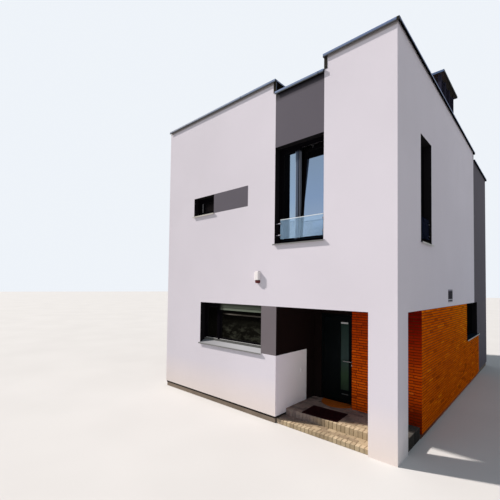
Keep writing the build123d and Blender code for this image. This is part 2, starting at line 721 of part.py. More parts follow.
def door_handle():
    """Lever on a round rose, pointing towards the hinges."""
    x = LEAF_X1 - HANDLE_IN
    z = LEAF_Z0 + HANDLE_UP
    rose = front(Pos(x, z) * Circle(ROSE_R), LEAF_Y - ROSE_T, LEAF_Y)
    neck = front(Pos(x, z) * Circle(HANDLE_R), LEAF_Y - HANDLE_OUT, LEAF_Y)
    lever = side(Pos(LEAF_Y - HANDLE_OUT, z) * Circle(HANDLE_R), x - HANDLE_L, x + HANDLE_R)
    return rose + neck + lever


def main():
    os.makedirs("parts", exist_ok=True)
    save("foundation_slab", foundation_slab())
    save("upper_floor", upper_floor())
    save("roof_deck", roof_deck())
    save("porch_ceiling", porch_ceiling())
    save("party_wall", party_wall())
    save("front_wall_lower", front_wall_lower())
    save("porch_side_wall", porch_side_wall())
    save("porch_wall_grey", porch_wall_grey())
    save("door_lintel", door_lintel())
    save("brick_front", brick_front())
    save("brick_side", brick_side())
    save("side_wall_rear", side_wall_rear())
    save("corner_column", corner_column())
    save("front_wall_upper", front_wall_upper())
    save("band_inlay", band_inlay())
    save("slot_wall", slot_wall())
    save("slot_panel", slot_panel())
    save("front_wall_right", front_wall_right())
    save("side_wall_upper", side_wall_upper())
    save("rear_wall", rear_wall())
    save("coping_left", coping_left())
    save("coping_right", coping_right())
    save("coping_slot", coping_slot())
    save("coping_rear", coping_rear())
    save("parapet_flashings", *parapet_flashings())
    save_windows()
    save("chimney_stack", chimney_stack())
    save("chimney_louvres", chimney_louvres())
    save("chimney_cap", chimney_cap())
    save("vent_grille", vent_grille())
    save("alarm_siren", alarm_siren())
    save("siren_lens", siren_lens())
    save("bell_push", bell_push())
    save("door_mats", *door_mats())
    save("lower_step", lower_step())
    save("entrance_platform", entrance_platform())
    save("door_frame", door_frame())
    save("door_leaf", door_leaf())
    save("door_glass", door_glass())
    save("door_handle", door_handle())


def save_windows():
    """Frames and panes of every opening, the sills, and the guards of the tall windows."""
    front_rows = ((FRONT_WINDOW, (FRONT_MULLION,), None, FRONT_DROP, 0), (BAND_WINDOW, (), None, 0, 0),
                  (SLOT_WINDOW, (SLOT_MULLION,), 1, 0, 0))
    side_rows = ((SIDE_SLIT, (), None, 0, 0), (SIDE_WINDOW, (SIDE_MULLION,), None, 0, SIDE_PAST))
    rear_rows = ((REAR_WIDE, (FRONT_MULLION,), None, 0, 0), (REAR_SHORT, (SLOT_MULLION,), None, 0, 0),
                 (REAR_TALL, (SLOT_MULLION,), None, 0, 0), (REAR_SLIT, (), None, 0, 0))
    sills = []
    low_panes = []
    high_panes = []
    for name, rows, place in (("front_window_frames", front_rows, on_front),
                              ("side_window_frames", side_rows, on_side),
                              ("rear_window_frames", rear_rows, on_rear)):
        frames = []
        for edges, mullions, tilted, drop, past in rows:
            width, height = sized(edges)
            frame, panes = window(width, height, mullions, tilted)
            frames.append(frame.moved(place(edges)))
            sills.append(sill(width, drop, past).moved(place(edges)))
            group = low_panes if edges[3] == OPENING_HEAD else high_panes
            group += placed(panes, place(edges))
        save(name, *frames)
    sash, pane = slot_sash()
    save("tilted_sash", sash)
    save("lower_window_glass", *low_panes)
    save("upper_window_glass", *high_panes, pane)
    save("window_sills", *sills)
    guards = []
    studs = []
    for edges, place, gaps in ((SLOT_WINDOW, on_front, SLOT_GAPS), (SIDE_SLIT, on_side, GUARD_GAPS)):
        width = sized(edges)[0]
        guards.append(guard(width, gaps).moved(place(edges)))
        studs += placed(guard_studs(width, gaps), place(edges))
    save("guard_glass", *guards)
    save("guard_studs", *studs)


main()
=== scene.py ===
import math
import random
from collections import namedtuple
from functools import reduce

import bpy
import bmesh
from mathutils import Matrix, Vector


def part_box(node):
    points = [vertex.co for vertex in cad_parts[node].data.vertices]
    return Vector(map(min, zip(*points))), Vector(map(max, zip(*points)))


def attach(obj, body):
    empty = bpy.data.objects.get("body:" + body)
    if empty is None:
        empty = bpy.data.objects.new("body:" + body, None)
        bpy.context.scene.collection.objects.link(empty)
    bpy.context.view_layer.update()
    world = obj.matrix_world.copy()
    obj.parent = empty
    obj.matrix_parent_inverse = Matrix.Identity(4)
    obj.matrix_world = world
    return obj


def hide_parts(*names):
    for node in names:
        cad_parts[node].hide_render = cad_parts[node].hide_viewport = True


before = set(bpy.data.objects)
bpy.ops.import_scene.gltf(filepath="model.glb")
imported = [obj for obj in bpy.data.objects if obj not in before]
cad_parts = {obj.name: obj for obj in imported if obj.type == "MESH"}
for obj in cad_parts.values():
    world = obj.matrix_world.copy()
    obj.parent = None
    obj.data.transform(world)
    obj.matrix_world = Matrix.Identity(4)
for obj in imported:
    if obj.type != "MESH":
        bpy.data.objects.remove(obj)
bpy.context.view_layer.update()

# Looks of the end house of a row: bricks, paving blocks, roofing, small fittings and all the materials.
# House coordinates in metres: x right from the party wall, y back from the street front, z up.

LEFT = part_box("party_wall")[0].x
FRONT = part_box("corner_column")[0].y
Box = namedtuple("Box", "x0 y0 z0 x1 y1 z1")


def node_box(name):
    """Box of a CAD node in house coordinates."""
    low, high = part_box(name)
    return Box(low.x - LEFT, low.y - FRONT, low.z, high.x - LEFT, high.y - FRONT, high.z)


COLUMN = node_box("corner_column")
STEP = node_box("lower_step")
DOOR = node_box("door_frame")
LINTEL = node_box("door_lintel")
ROOF = node_box("roof_deck")
W = COLUMN.x1
D = node_box("rear_wall").y1
STOREY = COLUMN.z1
BLOCK_X = STEP.x0
BRICK_Y = node_box("brick_front").y0
BRICK_END = node_box("brick_side").y1
RAFT_H = node_box("brick_side").z0
PLATFORM_TOP = node_box("entrance_platform").z1
PARTY_T = node_box("party_wall").x1
WALL_T = W - ROOF.x1
PARAPET_SLOT = node_box("slot_panel").z1
PARAPET_TOP = node_box("front_wall_right").z1
SLOT_LEFT = 2.674
SLOT_RIGHT = 1.433
SLOT_SILL = 3.97
PLATFORM_Y = 0.4
SIDE_WINDOW_NEAR = 6.258
SIDE_WINDOW_SILL = 1.45
REVEAL = 0.16

rng = random.Random(7)


# Building meshes

def placed(name, data):
    """A new object in the scene."""
    made = bpy.data.objects.new(name, data)
    bpy.context.scene.collection.objects.link(made)
    return made


class Piece:
    """A mesh of closed solids. place() turns the points given into house coordinates."""

    def __init__(self, place=None):
        self.points = []
        self.faces = []
        self.tones = []
        self.place = place or (lambda x, y, z: (x, y, z))

    def add(self, points, faces, tone=0.5):
        base = len(self.points)
        for point in points:
            x, y, z = self.place(*point)
            self.points.append((x + LEFT, y + FRONT, z))
        self.faces += [[base + i for i in face] for face in faces]
        self.tones += [tone] * len(faces)

    def block(self, low, high, bevel=0.002, tone=0.5):
        """Box with all its edges bevelled."""
        points = []
        for corner in range(8):
            side = [(corner >> (2 - axis)) & 1 for axis in range(3)]
            edge = [high[axis] if side[axis] else low[axis] for axis in range(3)]
            inner = [edge[axis] + (-bevel if side[axis] else bevel) for axis in range(3)]
            for axis in range(3):
                points.append([edge[i] if i == axis else inner[i] for i in range(3)])
        faces = []
        bit = (4, 2, 1)
        for axis in range(3):
            a, b = [bit[i] for i in range(3) if i != axis]
            for end in (0, bit[axis]):
                faces.append([3 * (end + c) + axis for c in (0, a, a + b, b)])
        for axis in range(3):
            a, b = [i for i in range(3) if i != axis]
            for ends in range(4):
                c = (bit[a] if ends & 1 else 0) + (bit[b] if ends & 2 else 0)
                other = c + bit[axis]
                faces.append([3 * c + a, 3 * other + a, 3 * other + b, 3 * c + b])
        faces += [[3 * corner, 3 * corner + 1, 3 * corner + 2] for corner in range(8)]
        self.add(points, faces, tone)

    def skin(self, points, count, tone=0.5):
        """Closed solid of rings with count points each."""
        faces = [list(range(count)), list(range(len(points) - count, len(points)))]
        for k in range(0, len(points) - count, count):
            for i in range(count):
                j = (i + 1) % count
                faces.append([k + i, k + j, k + count + j, k + count + i])
        self.add(points, faces, tone)

    def prism(self, outline, axis, start, end, bevel=0.0):
        """Solid with the outline's points in the other two axes, from start to end along axis."""
        middle = [sum(p[i] for p in outline) / len(outline) for i in range(2)]
        rings = [(start, 1), (end, 1)]
        if bevel:
            step = math.copysign(bevel, end - start)
            rings = [(start, 0), (start + step, 1), (end - step, 1), (end, 0)]
        points = []
        for level, full in rings:
            for a, b in outline:
                if not full:
                    reach = math.hypot(a - middle[0], b - middle[1])
                    a += (middle[0] - a) * bevel / reach
                    b += (middle[1] - b) * bevel / reach
                point = [a, b]
                point.insert(axis, level)
                points.append(point)
        self.skin(points, len(outline))

    def rod(self, centre, axis, start, end, radius, sides=20, bevel=0.0):
        outline = [(centre[0] + radius * math.cos(2 * math.pi * i / sides),
                    centre[1] + radius * math.sin(2 * math.pi * i / sides)) for i in range(sides)]
        self.prism(outline, axis, start, end, bevel)

    def tube(self, path, radius, sides=16):
        """Round bar along a path that stays in one horizontal plane, with a domed end."""
        rows = []
        for i, point in enumerate(path):
            before = path[max(i - 1, 0)]
            after = path[min(i + 1, len(path) - 1)]
            dx, dy = after[0] - before[0], after[1] - before[1]
            size = math.hypot(dx, dy)
            rows.append((point, (-dy / size, dx / size), radius))
        (x, y, z), normal, r = rows[-1]
        for angle in map(math.radians, (30, 60, 80)):
            reach = radius * math.sin(angle)
            point = (x + normal[1] * reach, y - normal[0] * reach, z)
            rows.append((point, normal, radius * math.cos(angle)))
        points = []
        for (x, y, z), (nx, ny), r in rows:
            for i in range(sides):
                a = 2 * math.pi * i / sides
                points.append((x + nx * r * math.cos(a), y + ny * r * math.cos(a), z + r * math.sin(a)))
        self.skin(points, sides)

    def make(self, name, look, body="house", slot=None, replaces=(), smooth=False):
        mesh = bpy.data.meshes.new(name)
        mesh.from_pydata(self.points, [], self.faces)
        tones = mesh.attributes.new("tone", "FLOAT", "FACE")
        tones.data.foreach_set("value", self.tones)
        work = bmesh.new()
        work.from_mesh(mesh)
        bmesh.ops.recalc_face_normals(work, faces=work.faces)
        work.to_mesh(mesh)
        work.free()
        mesh.materials.append(LOOKS[look])
        if smooth:
            mesh.shade_smooth()
            mesh.set_sharp_from_angle(angle=math.radians(35))
        piece = placed(name, mesh)
        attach(piece, body)
        for node in replaces:
            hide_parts(node)


def front_place(left, sill):
    return lambda x, y, z: (W - left + x, y, sill + z)


def side_place(near, sill):
    return lambda x, y, z: (W - y, near + x, sill + z)


def rear_place(right, sill):
    return lambda x, y, z: (W - right - x, D - y, sill + z)


# Openings: place, width, height, mullion and whether the right-hand light is the tilted one
WINDOWS = (
    (front_place(5.207, 1.535), 2.172, 1.037, 0.577, False),
    (front_place(5.558, 4.96), 0.827, 0.509, None, False),
    (front_place(SLOT_LEFT, SLOT_SILL), 1.241, 2.196, 0.524, True),
    (side_place(1.392, 3.97), 0.824, 2.23, None, False),
    (side_place(SIDE_WINDOW_NEAR, SIDE_WINDOW_SILL), 1.963, 1.122, 0.98, False),
    (rear_place(3.428, 1.45), 2.172, 1.122, 0.577, False),
    (rear_place(1.459, 1.45), 1.241, 1.122, 0.524, False),
    (rear_place(3.959, 3.95), 1.241, 2.216, 0.524, False),
    (rear_place(1.676, 3.95), 0.824, 2.216, None, False),
)


# Materials

def rgb(value):
    """A colour as it is, or a number as a grey."""
    return value if isinstance(value, tuple) else (value, value, value)


def scaled(colour, factor):
    return tuple(min(c * factor, 1.0) for c in colour)


class Value:
    """A number of a look's nodes. The signs + - * work on it, > and < give 1 or 0, and | gives the larger."""

    def __init__(self, look, socket):
        self.look = look
        self.socket = socket

    def between(self, low, high):
        """1 where it lies between low and high."""
        return (self > low) * (self < high)

    def lines(self, first, spacing, width):
        """1 on narrow lines across it, every spacing from first on."""
        turn = (self - (first - 20 * spacing)) * (1 / spacing)
        return self.look.math("FRACT", turn) < width / spacing

    def fit(self, low, high, out_low=0.0, out_high=1.0):
        return self.look.value("ShaderNodeMapRange", Value=self, From_Min=low, From_Max=high,
                               To_Min=out_low, To_Max=out_high)


SIGNS = {"__add__": "ADD", "__sub__": "SUBTRACT", "__mul__": "MULTIPLY", "__gt__": "GREATER_THAN",
         "__lt__": "LESS_THAN", "__or__": "MAXIMUM"}
for sign, operation in SIGNS.items():
    setattr(Value, sign, lambda self, other, name=operation: self.look.math(name, self, other))


class Look:
    """A node material with short calls for the nodes used here. Its xyz are house coordinates."""

    def __init__(self, name, rough=0.6, specular=0.0, metal=0.0):
        self.material = bpy.data.materials.new(name)
        self.material.use_nodes = True
        self.tree = self.material.node_tree
        self.shader = self.tree.nodes["Principled BSDF"]
        self.set("Roughness", rough)
        self.set("Specular IOR Level", specular)
        self.set("Metallic", metal)
        self.place = self.node("ShaderNodeTexCoord").outputs["Object"]
        moved = self.node("ShaderNodeMapping", Vector=self.place, Location=(-LEFT, -FRONT, 0))
        split = self.node("ShaderNodeSeparateXYZ", Vector=moved)
        self.xyz = [Value(self, socket) for socket in split.outputs]

    def node(self, kind, settings=(), **inputs):
        made = self.tree.nodes.new(kind)
        for key, value in settings:
            setattr(made, key, value)
        for key, value in inputs.items():
            self.feed(made.inputs[key.replace("_", " ")], value)
        return made

    def value(self, kind, settings=(), output=0, **inputs):
        return Value(self, self.node(kind, settings, **inputs).outputs[output])

    def feed(self, socket, value):
        if isinstance(value, Value):
            value = value.socket
        if isinstance(value, bpy.types.Node):
            value = value.outputs[0]
        if isinstance(value, bpy.types.NodeSocket):
            self.tree.links.new(value, socket)
        elif socket.type == "RGBA":
            socket.default_value = (*rgb(value), 1)
        else:
            socket.default_value = value

    def set(self, key, value):
        self.feed(self.shader.inputs[key], value)

    def noise(self, scale, detail=3, stretch=(1, 1, 1), rough=0.5):
        mapped = self.node("ShaderNodeMapping", Vector=self.place, Scale=stretch)
        return self.value("ShaderNodeTexNoise", output="Fac", Vector=mapped, Scale=scale, Detail=detail,
                          Roughness=rough)

    def tone(self):
        """Each face's own tone, from 0 to 1."""
        return self.value("ShaderNodeAttribute", (("attribute_name", "tone"),), "Fac")

    def upward(self):
        """0 on upright and downward faces, 1 on level ones that face up."""
        normal = self.node("ShaderNodeNewGeometry").outputs["Normal"]
        return self.value("ShaderNodeSeparateXYZ", output=2, Vector=normal).fit(0.2, 0.8)

    def math(self, operation, *values):
        made = self.node("ShaderNodeMath", (("operation", operation),))
        for socket, value in zip(made.inputs, values):
            self.feed(socket, value)
        return Value(self, made.outputs[0])

    def ramp(self, value, *colours, at=(0, 1)):
        made = self.node("ShaderNodeValToRGB", Fac=value)
        ramp = made.color_ramp
        while len(ramp.elements) < len(colours):
            ramp.elements.new(0.5)
        for element, position, colour in zip(ramp.elements, at, colours):
            element.position = position
            element.color = (*rgb(colour), 1)
        return made.outputs[0]

    def clouds(self, low, high, scale, detail=3, stretch=(1, 1, 1), rough=0.5, ends=(0.3, 0.7)):
        """Two colours that a noise mixes."""
        return self.ramp(self.noise(scale, detail, stretch, rough), low, high, at=ends)

    def mix(self, factor, a, b, kind="MIX"):
        made = self.node("ShaderNodeMix", (("data_type", "RGBA"), ("blend_type", kind)))
        for socket, value in zip((made.inputs[0], made.inputs[6], made.inputs[7]), (factor, a, b)):
            self.feed(socket, value)
        return made.outputs[2]

    def tinted(self, *colours):
        """All the colours multiplied."""
        return reduce(lambda a, b: self.mix(1.0, a, b, "MULTIPLY"), colours)

    def paint(self, tint, *coats):
        """Each coat is a mask and the colour that covers the tint there."""
        for mask, colour in coats:
            tint = self.mix(mask, tint, colour)
        return tint

    def done(self, tint, *bumps, gloss=None):
        """Set the colour, and each bump, a height or a noise's scale and detail, with its depth in metres.
        gloss is the scale of a noise and the lowest and highest roughness."""
        self.set("Base Color", tint)
        if gloss:
            scale, low, high = gloss
            self.set("Roughness", self.noise(scale).fit(0.3, 0.7, low, high))
        normal = None
        for height, depth in bumps:
            height = self.noise(*height) if isinstance(height, tuple) else height
            made = self.node("ShaderNodeBump", Height=height, Distance=depth, Strength=1.0)
            if normal:
                self.feed(made.inputs["Normal"], normal)
            normal = made.outputs[0]
        self.set("Normal", normal)
        return self.material

    def coated(self, tint, *bumps):
        """Done as coated sheet, with faint dust and uneven gloss."""
        dust = self.clouds(0.93, 1, 35, ends=(0.35, 0.7))
        return self.done(self.tinted(tint, dust), *bumps, gloss=(14, 0.5, 0.7))


# Masks find a face by its place, with this much to spare on both sides.
FACE = 0.001
STREET_DEPTH = 0.3      # panes and frames of the street front lie within this depth
BASE_TOP = 0.1495       # set-back base under the render of the front wall
UPPER_FLOOR = 3.2995
ROOM_GAP = 0.002
PORCH_CEILING = 2.94
ROOMS_TOP = 6.3
PLASTER = (0.62, 0.61, 0.59)
LINING = (0.0028, 0.0018, 0.0032)
LINING_EDGE = 0.002
BED_DEPTH = 0.057       # depth of the sills' beds under the openings


def rooms(look):
    """1 on the faces of the rooms, which show plaster instead of the outside finish."""
    x, y, z = look.xyz
    porch = (x > BLOCK_X - WALL_T + ROOM_GAP) * (y < LINTEL.y1 - ROOM_GAP) * (z < PORCH_CEILING)
    return (x.between(PARTY_T - ROOM_GAP, W - WALL_T + ROOM_GAP)
            * y.between(WALL_T - ROOM_GAP, D - WALL_T + ROOM_GAP) * (z < ROOMS_TOP) * (porch < 0.5))


def lined(look):
    """1 on the reveals of the openings, from the wall face to the window frame."""
    reveals = []
    for place, width, height, *_ in WINDOWS:
        corners = (place(-LINING_EDGE, FACE, -BED_DEPTH),
                   place(width + LINING_EDGE, REVEAL, height + LINING_EDGE))
        x, y, z = (value.between(*sorted(ends)) for value, ends in zip(look.xyz, zip(*corners)))
        reveals.append(x * y * z)
    return reduce(lambda a, b: a | b, reveals)


def street(look):
    return look.xyz[1] < STREET_DEPTH


def painted_light_on_white(look, colour):
    """Painted light on the white: brighter right on the front, brighter low and far on the right-hand side,
    and warm painted bounce light at the foot.
    """
    x, y, z = look.xyz
    along = look.ramp(x.fit(0, W), *(scaled(colour, factor) for factor in (0.91, 0.99, 1.05)),
                      at=(0, 0.45, 1))
    low = z.fit(5.0, 2.6) * y.fit(1.0, 7.0) * 0.55
    far = y.fit(1.0, 6.0, 0, 0.45)
    flank = x > W - FACE
    tint = look.mix(flank, along, look.mix(far + low, colour, scaled(colour, 1.28)))
    # Warm painted bounce light near the ground, stronger on the right-hand side.
    foot = look.mix(flank, (1.15, 1.08, 0.93), (1.28, 1.26, 1.14))
    return look.tinted(tint, look.mix(z.fit(1.0, 0.05), 1, foot))


def render_look(name, colour, stain, amount, shade=False):
    """Fine textured render with faint clouds, soft stains, a splashed foot and dark reveals, painted shade on
    the set-back base, under the front coping and under the slot's coping, and painted light on the block's
    end wall in the porch.
    """
    look = Look(name, 0.92, 0.2)
    x, y, z = look.xyz
    # With shade set, the colour carries the painted light of the white.
    tint = look.tinted(look.clouds(0.94, 1, 0.45, 4), look.clouds(0.9, 1, 420, 2),
                       painted_light_on_white(look, colour) if shade else colour)
    stains = look.noise(0.8, 5, (1, 1, 0.55), 0.6).fit(0.55, 0.8, 0, amount)
    splash = (z + look.noise(6) * 0.35).fit(0.75, 0.25, 0, 0.1)
    # Set-back base below the render, painted near black: partly its dark finish, partly painted shade under
    # the render's edge.
    base = (z < BASE_TOP) * (x < BLOCK_X + 0.01)
    # Painted light on the block's end wall in the porch, brighter further back.
    painted_porch_light = x.between(BLOCK_X - FACE, BLOCK_X + 0.01) * (y > 0.002) * (z < STOREY - 0.5)
    deep = look.ramp(y.fit(0, 1.3), scaled(colour, 1.24), scaled(colour, 1.72))
    # Painted shadow under the slot's coping: near black at the top, fading out lower down.
    drip = (x.between(W - SLOT_LEFT, W - SLOT_RIGHT) * (z < PARAPET_SLOT + 0.01)
            * z.fit(PARAPET_SLOT - 0.24, PARAPET_SLOT - 0.06))
    # Painted shade in a band just under the front coping.
    under_coping_shade = z.fit(PARAPET_TOP - 0.105, PARAPET_TOP - 0.075) * (z < PARAPET_TOP) * (y < 0.01) * 0.8
    tint = look.paint(tint, (stains, stain), (splash, scaled(stain, 1.1)), (base, (0.013, 0.008, 0.007)),
                      (painted_porch_light, deep), (drip, LINING), (under_coping_shade, (0.22, 0.2, 0.19)), (lined(look), LINING),
                      (rooms(look), PLASTER))
    return look.done(tint, ((24, 3), 0.0012), ((260, 3), 0.0014))


def porch_look():
    """Grey render of the block's corner pier, painted nearly black on the walls inside the porch."""
    look = Look("porch_render", 0.9, 0.03)
    x, y, z = look.xyz
    grey = look.clouds((0.165, 0.145, 0.158), (0.185, 0.162, 0.176), 0.8, 4)
    height = z.fit(0.3, 1.7) + look.noise(1.5, 4) * 0.4
    dark = look.ramp(height, (0.016, 0.0105, 0.0095), (0.0105, 0.0058, 0.0054), at=(0.35, 1))
    tint = look.tinted(look.mix(y > 0.0015, grey, dark), look.clouds(0.86, 1, 420, 2))
    return look.done(look.mix(rooms(look), tint, PLASTER), ((24, 3), 0.0012), ((260, 3), 0.0014))


def brick_look():
    """Orange-brown bricks: painted shade in the porch, darker higher up and lighter low down, with a painted
    shadow behind the column, and painted light making them warmer further along the right-hand side.
    """
    look = Look("brick", 0.95)
    x, y, z = look.xyz
    base = look.ramp(look.tone(), (0.36, 0.06, 0.001), (0.6, 0.1, 0.001), (0.75, 0.14, 0.001),
                     (0.88, 0.22, 0.006), at=(0, 0.3, 0.75, 1))
    # Painted light and shade on the bricks in the porch: lighter low down, darker higher up.
    tint_and_shade = look.mix(z.fit(1.2, 2.6), (1.17, 0.92, 2.2), (0.6, 0.23, 1.7))
    # Painted shadow on the porch bricks behind the column, by height.
    shadow = look.ramp(z.fit(0.0, 3.0), (0.36, 0.2, 0.5), (0.38, 0.22, 0.5), (0.86, 0.7, 0.8),
                       (0.93, 0.85, 1.0), (0.74, 0.48, 0.8), (0.62, 0.27, 0.6), (0.41, 0.11, 0.5),
                       at=(0.12, 0.16, 0.26, 0.39, 0.53, 0.66, 0.79))
    tint_and_shade = look.tinted(tint_and_shade, look.mix(x > COLUMN.x0 + 0.25, 1, shadow))
    # Painted light: warmer and brighter further back on the right-hand side, most of all higher up.
    warm = look.tinted(look.mix(y.fit(3.0, 6.2) * z.fit(1.0, 2.4), 1, (1.12, 1.55, 1.0)),
                       look.mix(y.fit(2.5, 5.5), 1, (1.13, 1.17, 1.0)))
    fine = look.clouds((0.78, 0.76, 0.72), (1.05, 1.04, 1.0), 90, 4)
    tint = look.tinted(base, look.mix(y < BRICK_Y + 0.004, warm, tint_and_shade), fine)
    return look.done(tint, ((45, 3), 0.0012), ((240, 3), 0.0009))


def mortar_look():
    look = Look("mortar", 0.95, 0.15)
    tint = look.clouds((0.06, 0.012, 0.003), (0.1, 0.022, 0.005), 60)
    return look.done(look.paint(tint, (lined(look), LINING), (rooms(look), PLASTER)), ((180, 3), 0.0015))


def planks(look):
    """Colour of laid boards, 0.19 m wide, for the room floors."""
    boards = look.node("ShaderNodeTexBrick", (("offset", 0.37),), Vector=look.place, Scale=1.0,
                       Brick_Width=1.6, Row_Height=0.19, Mortar_Size=0.0015, Mortar=(0.06, 0.04, 0.03),
                       Color1=(0.28, 0.17, 0.09), Color2=(0.36, 0.23, 0.13))
    return look.tinted(boards, look.clouds((0.75, 0.72, 0.7), 1.05, 9, 4, (1, 14, 1)))


def concrete_look():
    """Raft, red-brown under the bricks of the right-hand side, with painted shade making it darker towards
    the front there, and boards on top in the rooms.
    """
    look = Look("raft_concrete", 0.92, 0.25)
    x, y, z = look.xyz
    tint = look.clouds((0.15, 0.118, 0.09), (0.215, 0.17, 0.132), 3, 5)
    # Red-brown under the bricks of the right-hand side, with painted shade making it darker towards the
    # front.
    tint_and_shade = look.ramp(y.fit(1.4, 4.0), (0.05, 0.012, 0.001), (0.33, 0.062, 0.002))
    boards = look.mix(0.5, planks(look), (0.3, 0.22, 0.15))
    tint = look.paint(tint, ((x > W - 0.03) * (y < BRICK_END), tint_and_shade), (rooms(look), boards))
    return look.done(tint, ((70, 4), 0.0015))


def floor_look():
    """Upper floor slab: boards on top, plaster below."""
    look = Look("upper_floor", 0.5, 0.5)
    return look.done(look.mix(look.xyz[2] > UPPER_FLOOR, PLASTER, planks(look)), ((60, 3), 0.0005))


# Heights on a coping, down from its top: the band with the painted highlight along the upper edge of its
# face, the drip with painted shade, and the level top
COPING_BANDS = ((0.03, FACE), (0.067, 0.048), (FACE, -FACE))
COPING_REACH = 0.0445


def coping_look():
    """Dark sheet of the copings and flashings with joints; its street face has a painted sky reflection, a
    painted highlight along its upper edge and painted shade on its drip, the right-hand face a painted
    highlight along its upper edge, and the underside of the overhang painted shade.
    """
    look = Look("coping_metal")
    x, y, z = look.xyz
    back = node_box("side_wall_rear").y0
    bands = []
    for name, here in (("coping_left", y < back), ("coping_slot", y < back), ("coping_rear", y > back)):
        top = node_box(name).z1
        bands.append([here * z.between(top - low, top - high) for low, high in COPING_BANDS])
    upper, drip, level = (a | b | c for a, b, c in zip(*bands))
    along = x.fit(0.8, 6.2)
    # Painted sky reflection on the street face, changing along the front.
    middle = look.ramp(along, (0.15, 0.155, 0.175), (0.165, 0.205, 0.285), (0.12, 0.145, 0.215),
                       at=(0, 0.6, 1))
    # Painted highlight along the upper edge of the street face.
    bright = look.ramp(along, (0.42, 0.45, 0.55), (0.24, 0.3, 0.45), (0.15, 0.205, 0.36), at=(0, 0.6, 1))
    # Painted shade on the drip band of the street face.
    face = look.paint(middle, (upper, bright), (drip, (0.07, 0.075, 0.08)))
    # Right-hand face near black, with a painted highlight along its upper edge.
    flank = look.mix(upper, (0.0085, 0.0075, 0.006), (0.33, 0.39, 0.56))
    # Painted shade on the underside of the overhang: dark brown-grey along the street, near black along the
    # right-hand side.
    hollow = x.between(W - FACE, W + COPING_REACH) | y.between(-COPING_REACH, FACE)
    inside = look.mix(y < FACE, (0.004, 0.004, 0.005), (0.03, 0.028, 0.024))
    seam = x.lines(0.8, 2.2, 0.012) | y.lines(0.8, 2.5, 0.012)
    tint = look.paint(flank, (y < 0.02, face), (hollow, inside), (level, (0.06, 0.066, 0.075)),
                      (seam, (0.006, 0.007, 0.009)))
    return look.coated(tint, ((1.6, 2), 0.004), ((320, 2), 0.0004), (seam, 0.003))


# Trees mirrored at the front window's head: left end, measured from the right-hand wall face, and colour
HAZE_LEFT = 4.62
HAZE = (0.31, 0.355, 0.275)
# Members of the tall front window that catch light: edges from the right-hand wall face, and colour
LIT_MEMBERS = (
    (2.24, 2.222, (0.27, 0.35, 0.46)),
    (2.222, 2.151, (0.073, 0.093, 0.134)),
    (2.127, 2.118, (0.18, 0.2, 0.24)),
)
LIT_TOP = 6.03
# Foot of the front window's frame, which its sill lights
LIT_FOOT = (1.53, 1.6)


def haze(look):
    """Trees mirrored in the front window, brightest at their lower edge."""
    x, y, z = look.xyz
    band = look.ramp(z.fit(STOREY - 0.19, STOREY - 0.03), 0, 1, 0.45, 0.16, at=(0, 0.05, 0.45, 1))
    return (Value(look, band) * z.between(STOREY - 0.195, STOREY) * street(look)
            * x.fit(W - HAZE_LEFT, W - HAZE_LEFT + 0.17))


def frame_look():
    """Anthracite of the window frames, with the light that falls on those of the street front."""
    look = Look("anthracite_frame")
    x, y, z = look.xyz
    tint = look.clouds((0.0032, 0.0027, 0.0038), (0.004, 0.0033, 0.0047), 2.2, 4)
    tall = street(look) * z.fit(SLOT_SILL + 0.09, SLOT_SILL + 0.13) * z.fit(LIT_TOP, LIT_TOP - 0.05)
    lit = ((tall * x.between(W - left, W - right), colour) for left, right, colour in LIT_MEMBERS)
    tint = look.paint(tint, *lit, (street(look) * z.between(*LIT_FOOT), (0.125, 0.125, 0.12)),
                      (haze(look), HAZE))
    return look.coated(tint, ((1.6, 2), 0.002), ((320, 2), 0.0003))


def sill_look():
    """Pale sheet sills with painted light and shade: darker towards the left of the front, painted shade on
    the noses, a painted highlight on the band window's sill, painted shade where they lie in the shade of the
    right-hand side, and a painted highlight on the noses there.
    """
    look = Look("sill_metal", 0.45)
    x, y, z = look.xyz
    # Painted shade: darker towards the left of the street front.
    top = look.tinted(look.clouds((0.365, 0.37, 0.395), (0.4, 0.405, 0.43), 1.7),
                      x.fit(W - 5.2, W - 3.4, 0.66, 1.0))
    band = (z > 4.8) * street(look) * (x < W - 4.0)
    shade = look.clouds((0.007, 0.015, 0.025), (0.011, 0.021, 0.034), 3, 2)
    # Painted shade on the noses, a painted highlight on the band window's sill, painted shade on the
    # right-hand side and a painted highlight on its noses there.
    tint = look.paint(top, (y < -0.035, 0.2), (band, (0.5, 0.48, 0.44)), (x > W - 0.17, shade),
                      (x > W + 0.035, (0.58, 0.57, 0.55)))
    return look.done(tint, ((1.6, 2), 0.0008), gloss=(14, 0.4, 0.52))


def bar_look():
    """Bare metal weather bars, with painted shade making them dark upstairs and in the windows of the
    right-hand side.
    """
    look = Look("weather_bar", 0.5)
    x, y, z = look.xyz
    tint = look.clouds((0.32, 0.32, 0.315), (0.38, 0.38, 0.375), 14)
    # Painted shade: dark on the bars upstairs and on the right-hand side.
    tint = look.mix((x > W - 0.5) | (z > STOREY), tint, (0.006, 0.013, 0.02))
    return look.done(tint, ((320, 2), 0.0002), gloss=(30, 0.42, 0.58))


